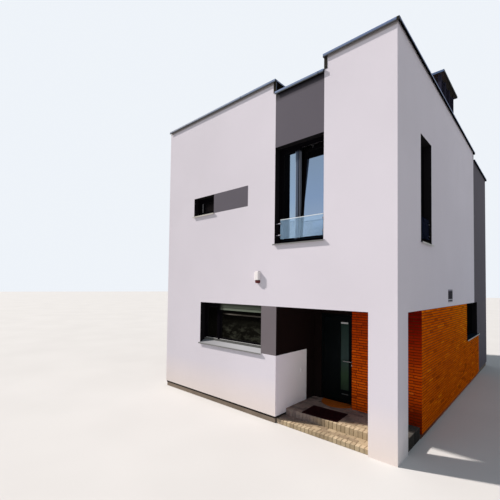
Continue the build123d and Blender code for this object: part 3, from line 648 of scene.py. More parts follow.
def chimney_look():
    """Dark blue cladding, bluer lower down; the cap with a bluer lip, whose street face has a painted sky
    reflection and whose right-hand face is paler grey, and a brownish underside.
    """
    look = Look("chimney_cladding")
    x, y, z = look.xyz
    cap = node_box("chimney_cap")
    tint = look.clouds((0.026, 0.025, 0.042), (0.038, 0.037, 0.06), 2.2, 4)
    lip = z > cap.z0 - FACE
    below = look.mix(y.fit(cap.y0, cap.y0 + 0.9), (0.085, 0.062, 0.06), (0.05, 0.044, 0.04))
    # Bluer lower down; the cap brownish, with a painted sky reflection on its lip's street face and a paler
    # grey right-hand face.
    tint = look.paint(tint, (z.fit(cap.z0 - 0.9, cap.z0 - 1.3), (0.035, 0.037, 0.08)), (lip, below),
                      (lip * (y < cap.y0 + 0.004), (0.1, 0.15, 0.27)),
                      (lip * (x > cap.x1 - 0.004), (0.09, 0.098, 0.11)))
    return look.coated(tint, ((1.6, 2), 0.004), ((320, 2), 0.0004))


def vent_look():
    """Dark grille and roof outlets, with the grille's paler head and lowest blades."""
    look = Look("vent_metal")
    z = look.xyz[2]
    grille = node_box("vent_grille")
    tint = look.clouds((0.06, 0.055, 0.066), (0.085, 0.08, 0.095), 5)
    tint = look.paint(tint, (z.between(grille.z1 - 0.04, grille.z1 + FACE), (0.31, 0.3, 0.35)),
                      (z.between(grille.z0 + 0.052, grille.z0 + 0.075), (0.66, 0.65, 0.7)),
                      (z.between(grille.z0 - FACE, grille.z0 + 0.028), (0.36, 0.35, 0.39)))
    return look.coated(tint, ((320, 2), 0.0004))


def brushed_look(name, colour, rough):
    look = Look(name, rough, 0.5, metal=1.0)
    brushed = look.noise(60, 3, (1, 1, 24))
    look.set("Roughness", brushed.fit(0.3, 0.7, rough * 0.75, rough * 1.3))
    tint = look.ramp(brushed, scaled(colour, 0.85), scaled(colour, 1.08), at=(0.3, 0.7))
    return look.done(tint, (brushed, 0.0002))


PANE_ALPHA = 0.97
# Pale line mirrored in the front window, down from the window's head
PALE_LINE = (0.302, 0.268)


def lower_glass_look():
    """Nearly black glass of the lower windows. The front one mirrors trees, a pale line and low shapes."""
    look = Look("lower_glass", 0.03)
    x, y, z = look.xyz
    tint = look.clouds((0.002, 0.0019, 0.0016), (0.0058, 0.0055, 0.0042), 0.35, 2, (1, 1, 2.5),
                       ends=(0.35, 0.65))
    right = street(look) * x.fit(W - 4.6, W - 4.45)
    shapes = look.noise(3.4, 4, (1, 1, 2.6), 0.62).fit(0.46, 0.66) * z.fit(2.15, 1.9) * right
    strokes = look.ramp(x.fit(W - 4.45, W - 3.05), 0.1, 1, 0.38, 0.5, at=(0, 0.14, 0.45, 1))
    line = z.between(STOREY - PALE_LINE[0], STOREY - PALE_LINE[1]) * right * strokes
    tint = look.paint(tint, (shapes, (0.03, 0.031, 0.023)), (line, (0.17, 0.15, 0.125)), (haze(look), HAZE))
    look.set("Alpha", PANE_ALPHA)
    return look.done(tint, ((1.3, 2), 0.0006), gloss=(5, 0.02, 0.045))


# Stretches of the tall front window that mirror the sky: edges from the right-hand wall face, and top
MIRROR_STRIP = (2.395, 2.23, 5.99)
MIRROR_TILTED = (2.12, 1.44, 5.85)
# Post mirrored in the band window, and the glow right of it, which grows along x and down
POST_X = (1.345, 1.372)
POST_Z = (5.07, 5.39)
GLOW_X = (1.42, 1.6)
GLOW_Z = (5.36, 5.16)
GLOW_END = 2.1


def upper_glass_look():
    """Nearly black glass of the upper windows, with the stretches of the tall one that mirror the sky."""
    look = Look("upper_glass", 0.03)
    x, y, z = look.xyz
    tint = look.clouds((0.0018, 0.0016, 0.0026), (0.0036, 0.0038, 0.0052), 0.5, 2, ends=(0.35, 0.65))
    height = (z + look.noise(0.8, 2, (1, 1, 0.4)) * 0.5).fit(4.2, 6.2)
    sky = look.ramp(height, (0.36, 0.44, 0.55), (0.25, 0.345, 0.5), (0.24, 0.32, 0.43), at=(0, 0.5, 1))
    sky = look.tinted(sky, look.mix(x < W - MIRROR_STRIP[1], 1, (1.24, 1.22, 1.14)))
    strip, tilted = (x.between(W - left, W - right) * (z < top)
                     for left, right, top in (MIRROR_STRIP, MIRROR_TILTED))
    mirror = (strip | tilted) * y.between(0.15, 0.6)
    post = x.between(*POST_X) * z.between(*POST_Z)
    glow = x.fit(*GLOW_X) * z.fit(*GLOW_Z) * (x < GLOW_END) * z.between(4.95, 5.5)
    tint = look.paint(tint, (post, (0.25, 0.24, 0.25)), (glow, (0.02, 0.017, 0.018)), (mirror, sky))
    look.set("Metallic", mirror)
    look.set("Alpha", PANE_ALPHA)
    return look.done(tint, ((1.3, 2), 0.0006), gloss=(5, 0.02, 0.05))


GUARD_EDGE = 0.012
GUARD_ALPHA = (0.2, 0.55)       # front and side


def guard_look():
    """Guard glass: the front one mirrors the sky, darker towards its lower right, and has a painted highlight
    along its upper edge; the side one is dark.
    """
    look = Look("guard_glass", 0.03)
    x, y, z = look.xyz
    front = street(look)
    sky = look.clouds((0.46, 0.66, 0.86), (0.52, 0.73, 0.93), 1.1, 2, (3, 1, 0.4), ends=(0.35, 0.65))
    # The mirrored sky is darker towards the lower right.
    corner = z.fit(SLOT_SILL + 0.34, SLOT_SILL + 0.14) * x.fit(W - 2.0, W - 1.5) * 0.6
    sky = look.mix(corner, sky, (0.1, 0.19, 0.25))
    # Painted highlight along the upper edge of the front guard.
    edge = front * (z > node_box("guard_glass").z1 - GUARD_EDGE)
    look.set("Metallic", front - edge)
    look.set("Alpha", front.fit(0, 1, GUARD_ALPHA[1], GUARD_ALPHA[0]) | (edge * 0.95))
    tint = look.paint((0.012, 0.015, 0.032), (front, sky), (edge, (0.75, 0.8, 0.83)))
    return look.done(tint, ((1.3, 2), 0.0006))


def paving_look():
    """Warm paving blocks, greyer in painted shade deep in the porch, nearly black behind the column from
    painted shade and dirt, with painted light and shade on the upright faces.
    """
    look = Look("paving_blocks", 0.95, 0.03)
    x, y, z = look.xyz
    tone = look.tone()
    at = (0, 0.5, 1)
    warm = look.ramp(tone, (0.25, 0.19, 0.13), (0.4, 0.315, 0.212), (0.57, 0.465, 0.325), at=at)
    grey = look.ramp(tone, (0.16, 0.125, 0.115), (0.24, 0.185, 0.165), (0.33, 0.26, 0.22), at=at)
    dark = look.ramp(tone, (0.035, 0.032, 0.029), (0.09, 0.084, 0.076))
    # Painted shade: greyer colours behind the line of the block's shadow across the porch.
    deep = (y - (x - BLOCK_X) * 0.42).fit(-0.05, 0.15)
    # Nearly black behind the column: painted shade and dirt.
    behind = (x > COLUMN.x0 + 0.1) * (y > COLUMN.y1)
    # Painted light and shade on the upright faces: darker in the sun, lighter in the shade of the porch,
    # darker still behind the column; level tops a little lighter.
    upright = look.paint((0.86, 0.86, 0.83), (deep, (1.3, 1.3, 1.35)), (behind, 0.5))
    grain = look.clouds((0.72, 0.72, 0.73), (1.1, 1.08, 1.05), 130, 4, rough=0.7, ends=(0.3, 0.65))
    tint = look.tinted(look.paint(warm, (deep, grey), (behind, dark)),
                       look.mix(look.upward(), upright, (1.06, 1.06, 1.05)), grain)
    return look.done(tint, ((30, 3), 0.002), ((150, 4), 0.002))


def felt_look():
    look = Look("roof_felt", 0.96, 0.15)
    base = look.ramp(look.tone(), (0.05, 0.052, 0.058), (0.085, 0.086, 0.092))
    tint = look.tinted(base, look.clouds((0.55, 0.55, 0.56), 1.35, 480, 2))
    worn = look.noise(0.9, 4).fit(0.5, 0.75, 0, 0.5)
    return look.done(look.mix(worn, tint, (0.13, 0.125, 0.12)), ((420, 2), 0.0015))


def door_look():
    """Dark paint with a faint gleam under the glass strip."""
    look = Look("door_paint", 0.45, 0.03)
    x, y, z = look.xyz
    strip = node_box("door_glass")
    gleam = x.between(strip.x0 + 0.04, strip.x1 - 0.02) * z.between(strip.z0 - 0.1, strip.z0 - 0.078)
    tint = look.clouds((0.002, 0.0032, 0.0036), (0.0036, 0.0056, 0.0062), 1.2)
    tint = look.mix(gleam, tint, (0.085, 0.09, 0.088))
    return look.done(tint, ((600, 2), 0.0002), gloss=(18, 0.34, 0.48))


FROSTED_TOP = 0.05


def frosted_look():
    """Etched glass strip in the door: dark green, bluer further up, with a painted highlight along its upper
    edge.
    """
    look = Look("frosted_glass", 0.4, 0.05)
    x, y, z = look.xyz
    strip = node_box("door_glass")
    tint = look.ramp(z.fit(0.5, 2.1), (0.024, 0.044, 0.026), (0.036, 0.074, 0.038), (0.043, 0.073, 0.068),
                     (0.034, 0.062, 0.055), (0.019, 0.04, 0.033), at=(0, 0.25, 0.5, 0.75, 1))
    # Painted highlight along the upper edge of the strip.
    top = (z > strip.z1 - FROSTED_TOP) * x.between(strip.x0, strip.x1 - 0.035)
    tint = look.tinted(look.mix(top, tint, (0.62, 0.64, 0.64)), look.clouds(0.8, 1.1, 700, 2))
    return look.done(tint, ((700, 2), 0.0004))


def plastic_look(name, colour, rough, top=1.0):
    """Smooth plastic whose upward faces have painted shade, dimmer by the factor top."""
    look = Look(name, rough, 0.2)
    # Painted shade: upward faces dimmer by the factor top.
    tint = look.tinted(look.clouds(scaled(colour, 0.93), colour, 8), look.mix(look.upward(), 1, top))
    return look.done(tint, ((900, 2), 0.0001), gloss=(40, rough * 0.85, rough * 1.2))


def mat_look(name, low, high, depth, scale):
    look = Look(name, 0.9, 0.02)
    return look.done(look.clouds(low, high, scale, 4, rough=0.7), ((scale * 1.7, 3), depth))


LOOKS = {
    "white": render_look("white_render", (0.7, 0.664, 0.73), (0.42, 0.4, 0.39), 0.08, shade=True),
    "grey": render_look("grey_render", (0.112, 0.102, 0.124), (0.085, 0.076, 0.082), 0.35),
    "porch": porch_look(),
    "brick": brick_look(),
    "mortar": mortar_look(),
    "concrete": concrete_look(),
    "floor": floor_look(),
    "felt": felt_look(),
    "coping": coping_look(),
    "frame": frame_look(),
    "sill": sill_look(),
    "bar": bar_look(),
    "chimney": chimney_look(),
    "vent": vent_look(),
    "steel": brushed_look("stainless_steel", (0.42, 0.42, 0.43), 0.34),
    "studs": brushed_look("stud_steel", (0.13, 0.13, 0.15), 0.4),
    "glass": lower_glass_look(),
    "upper_glass": upper_glass_look(),
    "guard": guard_look(),
    "rubber": mat_look("rubber_gasket", (0.006, 0.006, 0.006), (0.014, 0.014, 0.014), 0.0003, 120),
    "door": door_look(),
    "frosted": frosted_look(),
    "plastic": plastic_look("white_plastic", (0.84, 0.8, 0.8), 0.4, 0.62),
    "bell": plastic_look("bell_plastic", (0.95, 0.94, 0.95), 0.4),
    "lens": plastic_look("red_lens", (0.095, 0.013, 0.014), 0.3),
    "paving": paving_look(),
    "mat": mat_look("rubber_mat", (0.009, 0.0022, 0.0028), (0.025, 0.006, 0.0072), 0.0008, 90),
    "coir": mat_look("coir_mat", (0.22, 0.05, 0.008), (0.58, 0.16, 0.02), 0.004, 320),
}

NODE_LOOKS = {
    "white": ("porch_ceiling", "front_wall_lower", "porch_side_wall", "corner_column", "front_wall_upper",
              "slot_wall", "front_wall_right", "side_wall_upper"),
    "grey": ("party_wall", "side_wall_rear", "band_inlay", "slot_panel", "rear_wall"),
    "porch": ("porch_wall_grey", "door_lintel"),
    "mortar": ("brick_front", "brick_side"),
    "concrete": ("foundation_slab",),
    "floor": ("upper_floor",),
    "felt": ("roof_deck",),
    "coping": ("coping_left", "coping_right", "coping_slot", "coping_rear", "parapet_flashings"),
    "frame": ("front_window_frames", "side_window_frames", "rear_window_frames", "tilted_sash"),
    "glass": ("lower_window_glass",),
    "upper_glass": ("upper_window_glass",),
    "sill": ("window_sills",),
    "guard": ("guard_glass",),
    "steel": ("door_handle",),
    "studs": ("guard_studs",),
    "chimney": ("chimney_stack", "chimney_louvres", "chimney_cap"),
    "vent": ("vent_grille",),
    "plastic": ("alarm_siren",),
    "bell": ("bell_push",),
    "lens": ("siren_lens",),
    "mat": ("door_mats",),
    "paving": ("lower_step", "entrance_platform"),
    "door": ("door_frame", "door_leaf"),
    "frosted": ("door_glass",),
}


def dress_nodes():
    """Give every CAD node its material."""
    for look, names in NODE_LOOKS.items():
        for name in names:
            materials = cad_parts[name].data.materials
            materials.clear()
            materials.append(LOOKS[look])


# Bricks

BRICK_L = 0.29
BRICK_DEEP = 0.11
BRICK_PROUD = 0.008
BRICK_JOINT = 0.01
COURSES = 43
BED_JOINT = 0.014
BRICK_BEVEL = 0.0025


def course_levels():
    pitch = (STOREY - RAFT_H) / COURSES
    for n in range(COURSES):
        yield n, RAFT_H + n * pitch + BED_JOINT / 2, RAFT_H + (n + 1) * pitch - BED_JOINT / 2


def brick(piece, low, high):
    """One brick, mostly mid brown, with a few darker and lighter ones."""
    piece.block(low, high, BRICK_BEVEL, min(max(rng.gauss(0.5, 0.17), 0.0), 1.0))


def run_of_bricks(start, end, shift):
    """Start and end of each brick along a run, the first one cut so that the joints are staggered."""
    edges = [start]
    at = start + BRICK_L * shift
    while at < end - 0.07:
        if at > start + 0.05:
            edges.append(at)
        at += BRICK_L + BRICK_JOINT
    edges.append(end)
    for i, (a, b) in enumerate(zip(edges, edges[1:])):
        yield (a if i == 0 else a + BRICK_JOINT), b


def side_bricks():
    """Bricks of the right-hand side, with the corner bricks that turn into the porch."""
    piece = Piece()
    out, back = W + BRICK_PROUD, W - BRICK_DEEP
    corner = BRICK_Y - BRICK_PROUD
    for n, z0, z1 in course_levels():
        long, across = (BRICK_L, BRICK_L / 2) if n % 2 else (BRICK_L / 2, BRICK_L)
        brick(piece, (out - across, corner, z0), (out, corner + long, z1))
        above = z1 > SIDE_WINDOW_SILL + 0.02
        end = SIDE_WINDOW_NEAR - LINING_EDGE if above else BRICK_END
        for a, b in run_of_bricks(corner + long + BRICK_JOINT, end, rng.uniform(0.25, 0.9)):
            cut = b > SIDE_WINDOW_NEAR and z1 > SIDE_WINDOW_SILL
            brick(piece, (back, a, z0), (out, b, SIDE_WINDOW_SILL - 0.002 if cut else z1))
    piece.make("side_bricks", "brick", slot="brick")


def porch_bricks():
    """Bricks of the wall inside the porch, with its return into the door recess."""
    piece = Piece()
    y0 = BRICK_Y - BRICK_PROUD
    left = DOOR.x1 - 0.001
    recess_end = LINTEL.y0 - 0.004
    turn = BRICK_DEEP + BRICK_JOINT
    for n, z0, z1 in course_levels():
        right = W + BRICK_PROUD - (BRICK_L / 2 if n % 2 else BRICK_L) - BRICK_JOINT
        start, near = (left + turn, y0) if n % 2 else (left, y0 + turn)
        brick(piece, (left, near, z0), (left + BRICK_DEEP, recess_end, z1))
        for a, b in run_of_bricks(start, right, rng.uniform(0.3, 0.95)):
            brick(piece, (a, y0, z0), (b, y0 + BRICK_DEEP, z1))
    piece.make("porch_bricks", "brick", slot="brick")


# Steps

PALISADE = 0.0915
PALISADE_T = 0.12
PAVER_L = 0.2
PAVER_W = 0.1
PAVER_H = 0.06
PAVING_JOINT = 0.004
PAVING_BEVEL = 0.004
UNEVEN = 0.0015         # how much lower than the level a block may lie
BED = 0.008


def palisades(piece, along, start, end, near, far, top, foot):
    """Row of upright blocks along x or y with rounded upper edges."""
    count = round((end - start) / PALISADE)
    pitch = (end - start) / count
    for n in range(count):
        a = start + n * pitch + PAVING_JOINT / 2
        b = a + pitch - PAVING_JOINT
        lift = rng.uniform(-UNEVEN, 0)
        low, high = (a, near, foot), (b, far, top + lift)
        if along == "y":
            low, high = (near, a, foot), (far, b, top + lift)
        piece.block(low, high, 0.007, rng.uniform(0.35, 1.0))


def pavers(piece, x0, x1, y0, y1, top):
    """Running bond of small blocks, cut at both ends."""
    rows = max(round((y1 - y0) / PAVER_W), 1)
    pitch = (y1 - y0) / rows
    gap = PAVING_JOINT / 2
    for row in range(rows):
        y = y0 + row * pitch
        x = x0 - (PAVER_L / 2 if row % 2 else 0)
        while x < x1 - 0.01:
            a = max(x, x0) + gap
            b = min(x + PAVER_L, x1) - gap
            if b - a > 0.02:
                high = (b, y + pitch - gap, top + rng.uniform(-UNEVEN, 0))
                piece.block((a, y + gap, top - PAVER_H), high, PAVING_BEVEL, rng.uniform(0.0, 0.75))
            x += PAVER_L


def bedding(piece, *boxes):
    """Mortar beds under the blocks, each with its low and high corner."""
    for low, high in boxes:
        piece.block(low, high, 0.001, 0.1)


def steps():
    lower = Piece()
    palisades(lower, "x", BLOCK_X, COLUMN.x0, STEP.y0, STEP.y0 + PALISADE_T, STEP.z1, 0.0)
    pavers(lower, BLOCK_X, COLUMN.x0, STEP.y0 + PALISADE_T, PLATFORM_Y, STEP.z1)
    left = BLOCK_X + 0.001
    bedding(lower, ((left, STEP.y0 + 0.02, 0.0), (COLUMN.x0 - 0.001, PLATFORM_Y + 0.02, STEP.z1 - BED)))
    lower.make("lower_step_blocks", "paving", slot="paving_stone", replaces=["lower_step"])
    upper = Piece()
    inner_y = PLATFORM_Y + PALISADE_T
    inner_x = STEP.x1 - PALISADE_T
    palisades(upper, "x", BLOCK_X, COLUMN.x0, PLATFORM_Y, inner_y, PLATFORM_TOP, 0.0)
    palisades(upper, "y", COLUMN.y1, BRICK_Y, inner_x, STEP.x1, PLATFORM_TOP, 0.0)
    pavers(upper, BLOCK_X, COLUMN.x0, inner_y, COLUMN.y1, PLATFORM_TOP)
    pavers(upper, BLOCK_X, inner_x, COLUMN.y1, BRICK_Y, PLATFORM_TOP)
    pavers(upper, BLOCK_X, DOOR.x1, BRICK_Y, LINTEL.y0, PLATFORM_TOP)
    top = PLATFORM_TOP - BED
    bedding(upper, ((left, PLATFORM_Y + 0.02, 0.0), (COLUMN.x0, COLUMN.y1, top)),
            ((left, COLUMN.y1, 0.0), (STEP.x1 - 0.02, BRICK_Y, top)),
            ((left, BRICK_Y, 0.0), (DOOR.x1, LINTEL.y0, top)))
    upper.block((DOOR.x0, LINTEL.y0, RAFT_H), (DOOR.x1, LINTEL.y1, PLATFORM_TOP - 0.001), 0.001)
    upper.make("platform_blocks", "paving", slot="paving_stone", replaces=["entrance_platform"])


# Window trim, on the sizes that the window frames have in the CAD model

FRAME_W = 0.062
SASH_W = 0.058
SASH_FACE = 0.172
SASH_BACK = 0.232
PANE_FACE = 0.188
PANE_BACK = 0.216
TILT = math.radians(5)
GASKET = 0.009


def lights_of(width, mullion):
    """Left and right edge of each light between the frame members."""
    if mullion is None:
        return [(FRAME_W, width - FRAME_W)]
    return [(FRAME_W, mullion - FRAME_W / 2), (mullion + FRAME_W / 2, width - FRAME_W)]


def border(a0, b0, a1, b1, width):
    """The four strips along the edges of a rectangle, inside it."""
    return ((a0, b0, a1, b0 + width), (a0, b1 - width, a1, b1),
            (a0, b0 + width, a0 + width, b1 - width), (a1 - width, b0 + width, a1, b1 - width))


def ring(piece, x0, z0, x1, z1, width, y0, y1):
    for a0, b0, a1, b1 in border(x0, z0, x1, z1, width):
        piece.block((a0, y0, b0), (a1, y1, b1), 0.0008)


def handle(piece, x, z, y):
    """Window handle on the room side: back plate, neck and hanging lever."""
    piece.block((x - 0.015, y, z - 0.035), (x + 0.015, y + 0.011, z + 0.035), 0.003)
    piece.rod((x, z), 1, y + 0.01, y + 0.045, 0.008, 14, 0.001)
    piece.block((x - 0.01, y + 0.036, z - 0.125), (x + 0.01, y + 0.048, z + 0.012), 0.004)


def tilted_place(place, foot):
    """Place of things on the sash that leans into the room about its lower inside edge."""
    def moved(x, y, z):
        dy, dz = y - SASH_BACK, z - foot
        return place(x, SASH_BACK + dy * math.cos(TILT) + dz * math.sin(TILT),
                     foot - dy * math.sin(TILT) + dz * math.cos(TILT))
    return moved


def window_trim():
    """Glazing gaskets, room-side handles, drip bars, and the stay of the tilted sash."""
    gaskets, handles, bars = Piece(), Piece(), Piece()
    for place, width, height, mullion, tilts in WINDOWS:
        for number, (x0, x1) in enumerate(lights_of(width, mullion)):
            leaning = tilts and number == 1
            foot = FRAME_W + (0.0003 if leaning else 0)
            inset = 0.003 if leaning else 0
            for piece in (gaskets, handles, bars):
                piece.place = tilted_place(place, foot) if leaning else place
            edge = SASH_W + inset
            pane = (x0 + edge, foot + SASH_W, x1 - edge, height - FRAME_W - edge)
            ring(gaskets, *pane, GASKET, PANE_FACE - 0.004, PANE_FACE + 0.0005)
            ring(gaskets, *pane, GASKET, PANE_BACK - 0.0005, PANE_BACK + 0.004)
            hx = x0 + inset + SASH_W / 2 if number == 1 else x1 - inset - SASH_W / 2
            handle(handles, hx, height * 0.48, SASH_BACK - 0.0005)
            bars.block((x0 + inset + 0.01, SASH_FACE - 0.017, foot + 0.01),
                       (x1 - inset - 0.01, SASH_FACE + 0.001, foot + 0.024), 0.003)
        handles.place = place
        if tilts:
            x0, x1 = lights_of(width, mullion)[1]
            z = height - FRAME_W - 0.06
            lean = SASH_BACK + (z - FRAME_W) * math.sin(TILT)
            handles.prism([(x0 + 0.3, SASH_BACK - 0.03), (x0 + 0.318, SASH_BACK - 0.03),
                           (x0 + 0.152, lean + 0.004), (x0 + 0.134, lean + 0.004)], 2, z, z + 0.004)
    gaskets.make("glazing_gaskets", "rubber")
    handles.make("window_handles", "steel", slot="stainless")
    bars.make("drip_bars", "bar", slot="sill_metal")


# Roof

FELT_STRIP = 1.0
FELT_LAP = 0.08
FELT_T = 0.006
UPSTAND_H = 0.2
BAR_T = 0.004
BAR_H = 0.026
OUTLETS = ((1.2, 9.4), (1.2, 3.2))
OUTLET_BARS = 12


def roofing():
    """Lapped felt strips in the roof tray, upstands with a clamping bar, and two outlets."""
    x0, x1, y0, y1 = PARTY_T, W - WALL_T, WALL_T, D - WALL_T
    felt, bar = Piece(), Piece()
    count = math.ceil((y1 - y0 - FELT_LAP) / FELT_STRIP)
    pitch = (y1 - y0 - FELT_LAP) / count
    for n in range(count):
        a = y0 + n * pitch
        high = (x1 - 0.002, a + pitch + FELT_LAP - 0.002, ROOF.z1 + 0.004 + 0.0035 * (n % 2))
        felt.block((x0 + 0.002, a + 0.002, ROOF.z1 - 0.002), high, 0.0015, rng.uniform(0.2, 0.8))
    top = ROOF.z1 + UPSTAND_H
    t = FELT_T
    sides = ((x0, y0, x0 + t, y1, BAR_T, 0), (x1 - t, y0, x1, y1, -BAR_T, 0),
             (x0 + t, y0, x1 - t, y0 + t, 0, BAR_T), (x0 + t, y1 - t, x1 - t, y1, 0, -BAR_T))
    for a0, b0, a1, b1, dx, dy in sides:
        felt.block((a0, b0, ROOF.z1 - 0.002), (a1, b1, top), 0.001, rng.uniform(0.2, 0.8))
        bar.block((a0 + min(dx, 0), b0 + min(dy, 0), top - BAR_H),
                  (a1 + max(dx, 0), b1 + max(dy, 0), top + BAR_T), 0.001)
    stack = node_box("chimney_stack")
    sx0, sy0, sx1, sy1 = stack.x0 - t, stack.y0 - t, stack.x1 + t, stack.y1 + t
    felt.block((sx0, sy0, ROOF.z1), (sx1, sy1, top), 0.002, 0.6)
    bar.block((sx0 - BAR_T, sy0 - BAR_T, top - BAR_H), (sx1 + BAR_T, sy1 + BAR_T, top + BAR_T), 0.001)
    felt.make("roof_felt_layers", "felt", slot="roof_felt")
    bar.make("felt_clamping_bars", "sill", slot="sill_metal")
    outlet = Piece()
    for ox, oy in OUTLETS:
        outlet.rod((ox, oy), 2, ROOF.z1 + 0.002, ROOF.z1 + 0.012, 0.14, 32, 0.004)
        for i in range(OUTLET_BARS):
            a = 2 * math.pi * i / OUTLET_BARS
            centre = (ox + 0.085 * math.cos(a), oy + 0.085 * math.sin(a))
            outlet.rod(centre, 2, ROOF.z1 + 0.01, ROOF.z1 + 0.075, 0.006, 8)
        outlet.rod((ox, oy), 2, ROOF.z1 + 0.073, ROOF.z1 + 0.088, 0.095, 32, 0.006)
    outlet.make("roof_outlets", "vent", slot="vent_metal", smooth=True)


def chimney_seams():
    """Standing seams on the clad stack and a band under its louvred head."""
    x0, y0, z0, x1, y1, z1 = node_box("chimney_stack")
    piece = Piece()
    z0 = ROOF.z1 + UPSTAND_H
    band = z1 - 0.05
    proud, wide, sunk, margin = 0.014, 0.01, 0.002, 0.03
    count = 4
    for n in range(count + 1):
        y = y0 + margin + n * (y1 - y0 - 2 * margin) / count
        for a, b in ((x0 - proud, x0 + sunk), (x1 - sunk, x1 + proud)):
            piece.block((a, y - wide / 2, z0), (b, y + wide / 2, band), 0.002)
    for x in (x0 + margin, (x0 + x1) / 2, x1 - margin):
        for a, b in ((y0 - proud, y0 + sunk), (y1 - sunk, y1 + proud)):
            piece.block((x - wide / 2, a, z0), (x + wide / 2, b, band), 0.002)
    piece.block((x0 - proud, y0 - proud, band), (x1 + proud, y1 + proud, z1 + 0.012), 0.003)
    piece.make("chimney_seams", "chimney", slot="chimney_cladding")


# Door

DOOR_SET = 0.02
ROSE_R = 0.026
ROSE_T = 0.008
LEVER_R = 0.0095
LEVER_TURN = 0.02
LOCK_DOWN = 0.085


def door_trim():
    """Trim round the glass strip, the lever with its rose, the lock rose and a drip bar."""
    strip, leaf, grip = node_box("door_glass"), node_box("door_leaf"), node_box("door_handle")
    face = LINTEL.y0 + DOOR_SET
    trim = Piece()
    bite, past = 0.008, 0.01
    x0, x1 = strip.x0 + bite, strip.x1 - bite
    z0, z1 = strip.z0 + bite, strip.z1 - bite
    ring(trim, x0 - past, z0 - past, x1 + past, z1 + past, 0.011, face - 0.003, face + 0.01)
    trim.make("glass_strip_trim", "door", "front_door", "door_finish")
    hz = (grip.z0 + grip.z1) / 2
    hx = grip.x1 - ROSE_R
    out = grip.y0 + 0.01
    lever = Piece()
    lever.rod((hx, hz), 1, face + 0.001, face - ROSE_T, ROSE_R, 36, 0.003)
    lever.rod((hx, hz), 1, face, face - 0.02, 0.013, 24, 0.002)
    path = [(hx, face, hz), (hx, out + LEVER_TURN, hz)]
    for a in map(math.radians, range(15, 105, 15)):
        path.append((hx - LEVER_TURN * (1 - math.cos(a)), out + LEVER_TURN * (1 - math.sin(a)), hz))
    path.append((grip.x0 + LEVER_R, out, hz))
    lever.tube(path, LEVER_R)
    lock = hz - LOCK_DOWN
    lever.rod((hx, lock), 1, face + 0.001, face - ROSE_T, ROSE_R, 36, 0.003)
    lever.rod((hx, lock), 1, face, face - 0.012, 0.0085, 20, 0.001)
    lever.block((hx - 0.0045, face - 0.0115, lock - 0.03), (hx + 0.0045, face - 0.002, lock - 0.003), 0.001)
    lever.make("door_lever", "steel", "front_door", "stainless", replaces=["door_handle"], smooth=True)
    bar = Piece()
    bar.block((leaf.x0 + 0.02, face - 0.012, leaf.z0 + 0.02),
              (leaf.x1 - 0.02, face + 0.001, leaf.z0 + 0.045), 0.004)
    bar.make("door_drip_bar", "door", "front_door", "door_finish")


MAT_EDGE = 0.022
MAT_RIBS = 22
COIR_R = 0.415
COIR_GAP = 0.025
COIR_STEPS = 40


def mats():
    """Ribbed rubber mat with its border, and the coir mat, both as thick as in the CAD model."""
    top = node_box("door_mats").z1
    foot = PLATFORM_TOP - 0.001
    x, y, wide, deep, turn = W - 1.785, 0.715, 0.83, 0.57, math.radians(3)

    def askew(a, b, z):
        return (x + a * math.cos(turn) - b * math.sin(turn), y + a * math.sin(turn) + b * math.cos(turn), z)

    rubber = Piece(askew)
    rubber.block((-wide / 2, -deep / 2, foot), (wide / 2, deep / 2, top - 0.005), 0.001)
    for a0, b0, a1, b1 in border(-wide / 2, -deep / 2, wide / 2, deep / 2, MAT_EDGE):
        rubber.block((a0, b0, top - 0.006), (a1, b1, top), 0.002)
    pitch = (deep - 2 * MAT_EDGE) / MAT_RIBS
    side = wide / 2 - MAT_EDGE - 0.004
    for n in range(MAT_RIBS):
        b = MAT_EDGE - deep / 2 + (n + 0.28) * pitch
        rubber.block((-side, b, top - 0.006), (side, b + 0.5 * pitch, top - 0.001), 0.0015)
    rubber.make("rubber_mat", "mat", slot="mat", replaces=["door_mats"])
    coir = Piece()
    cx, back = W - 1.9, LINTEL.y0 + DOOR_SET - COIR_GAP
    angles = [math.pi * (1 + i / COIR_STEPS) for i in range(COIR_STEPS + 1)]
    outline = [(cx + COIR_R * math.cos(a), back + COIR_R * math.sin(a)) for a in angles]
    coir.prism(outline, 2, foot, top, 0.003)
    coir.make("coir_mat", "coir", slot="mat", replaces=["door_mats"])


# Stage

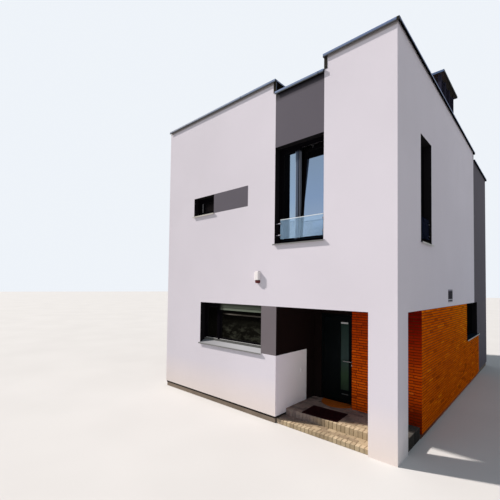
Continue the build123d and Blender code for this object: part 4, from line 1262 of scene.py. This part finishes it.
def stage():
    """Plain pale floor and a soft even world with one soft sun from the front left."""
    size = 150.0
    mesh = bpy.data.meshes.new("stage_floor")
    corners = [(-size, -size, 0), (size, -size, 0), (size, size, 0), (-size, size, 0)]
    mesh.from_pydata(corners, [], [(0, 1, 2, 3)])
    floor = placed("stage_floor", mesh)
    look = Look("stage_floor", 0.95, 0.1)
    look.set("Base Color", look.clouds((0.6, 0.59, 0.58), (0.63, 0.62, 0.61), 0.4, 2))
    mesh.materials.append(look.material)

    world = bpy.data.worlds.new("studio")
    bpy.context.scene.world = world
    world.use_nodes = True
    tree = world.node_tree
    lit = tree.nodes["Background"]
    seen = tree.nodes.new("ShaderNodeBackground")
    for background, colour, strength in ((lit, (0.8, 0.9, 1.0), 0.4), (seen, (0.86, 0.9, 0.95), 1.0)):
        background.inputs["Color"].default_value = (*colour, 1)
        background.inputs["Strength"].default_value = strength
    path = tree.nodes.new("ShaderNodeLightPath")
    direct = path.outputs["Is Camera Ray"]
    for ray in ("Is Glossy Ray", "Is Transmission Ray"):
        either = tree.nodes.new("ShaderNodeMath")
        either.operation = "MAXIMUM"
        tree.links.new(direct, either.inputs[0])
        tree.links.new(path.outputs[ray], either.inputs[1])
        direct = either.outputs[0]
    mix = tree.nodes.new("ShaderNodeMixShader")
    tree.links.new(direct, mix.inputs["Fac"])
    tree.links.new(lit.outputs[0], mix.inputs[1])
    tree.links.new(seen.outputs[0], mix.inputs[2])
    tree.links.new(mix.outputs[0], tree.nodes["World Output"].inputs["Surface"])

    lamp = bpy.data.lights.new("sun", "SUN")
    lamp.energy = 5.2
    lamp.color = (1.0, 0.93, 0.87)
    lamp.angle = math.radians(2.5)
    sun = placed("sun", lamp)
    bearing, height = math.radians(22.5), math.radians(40)
    flat = math.cos(height)
    toward = Vector((-flat * math.cos(bearing), -flat * math.sin(bearing), math.sin(height)))
    across = Vector((math.sin(bearing), -math.cos(bearing), 0))
    sun.rotation_mode = "QUATERNION"
    sun.rotation_quaternion = Matrix((across, toward.cross(across), toward)).transposed().to_quaternion()


def camera():
    """Camera at the photograph's place, with its roll and the shift of its picture."""
    yaw, pitch, roll = math.radians(41.97), math.radians(1.78), math.radians(0.75)
    data = bpy.data.cameras.new("camera")
    data.sensor_width = 36
    data.lens = 24.09
    data.shift_y = 0.0532
    data.clip_end = 500
    made = placed("camera", data)
    turn = Matrix.Rotation(yaw, 3, "Z") @ Matrix.Rotation(math.pi / 2 + pitch, 3, "X")
    turn = turn @ Matrix.Rotation(roll, 3, "Z")
    made.matrix_world = Matrix.Translation((LEFT + W + 1.948, FRONT - 5.944, 3.0)) @ turn.to_4x4()
    bpy.context.scene.camera = made


camera()
dress_nodes()
side_bricks()
porch_bricks()
steps()
window_trim()
roofing()
chimney_seams()
door_trim()
mats()
stage()
bpy.context.scene.view_settings.view_transform = "Standard"
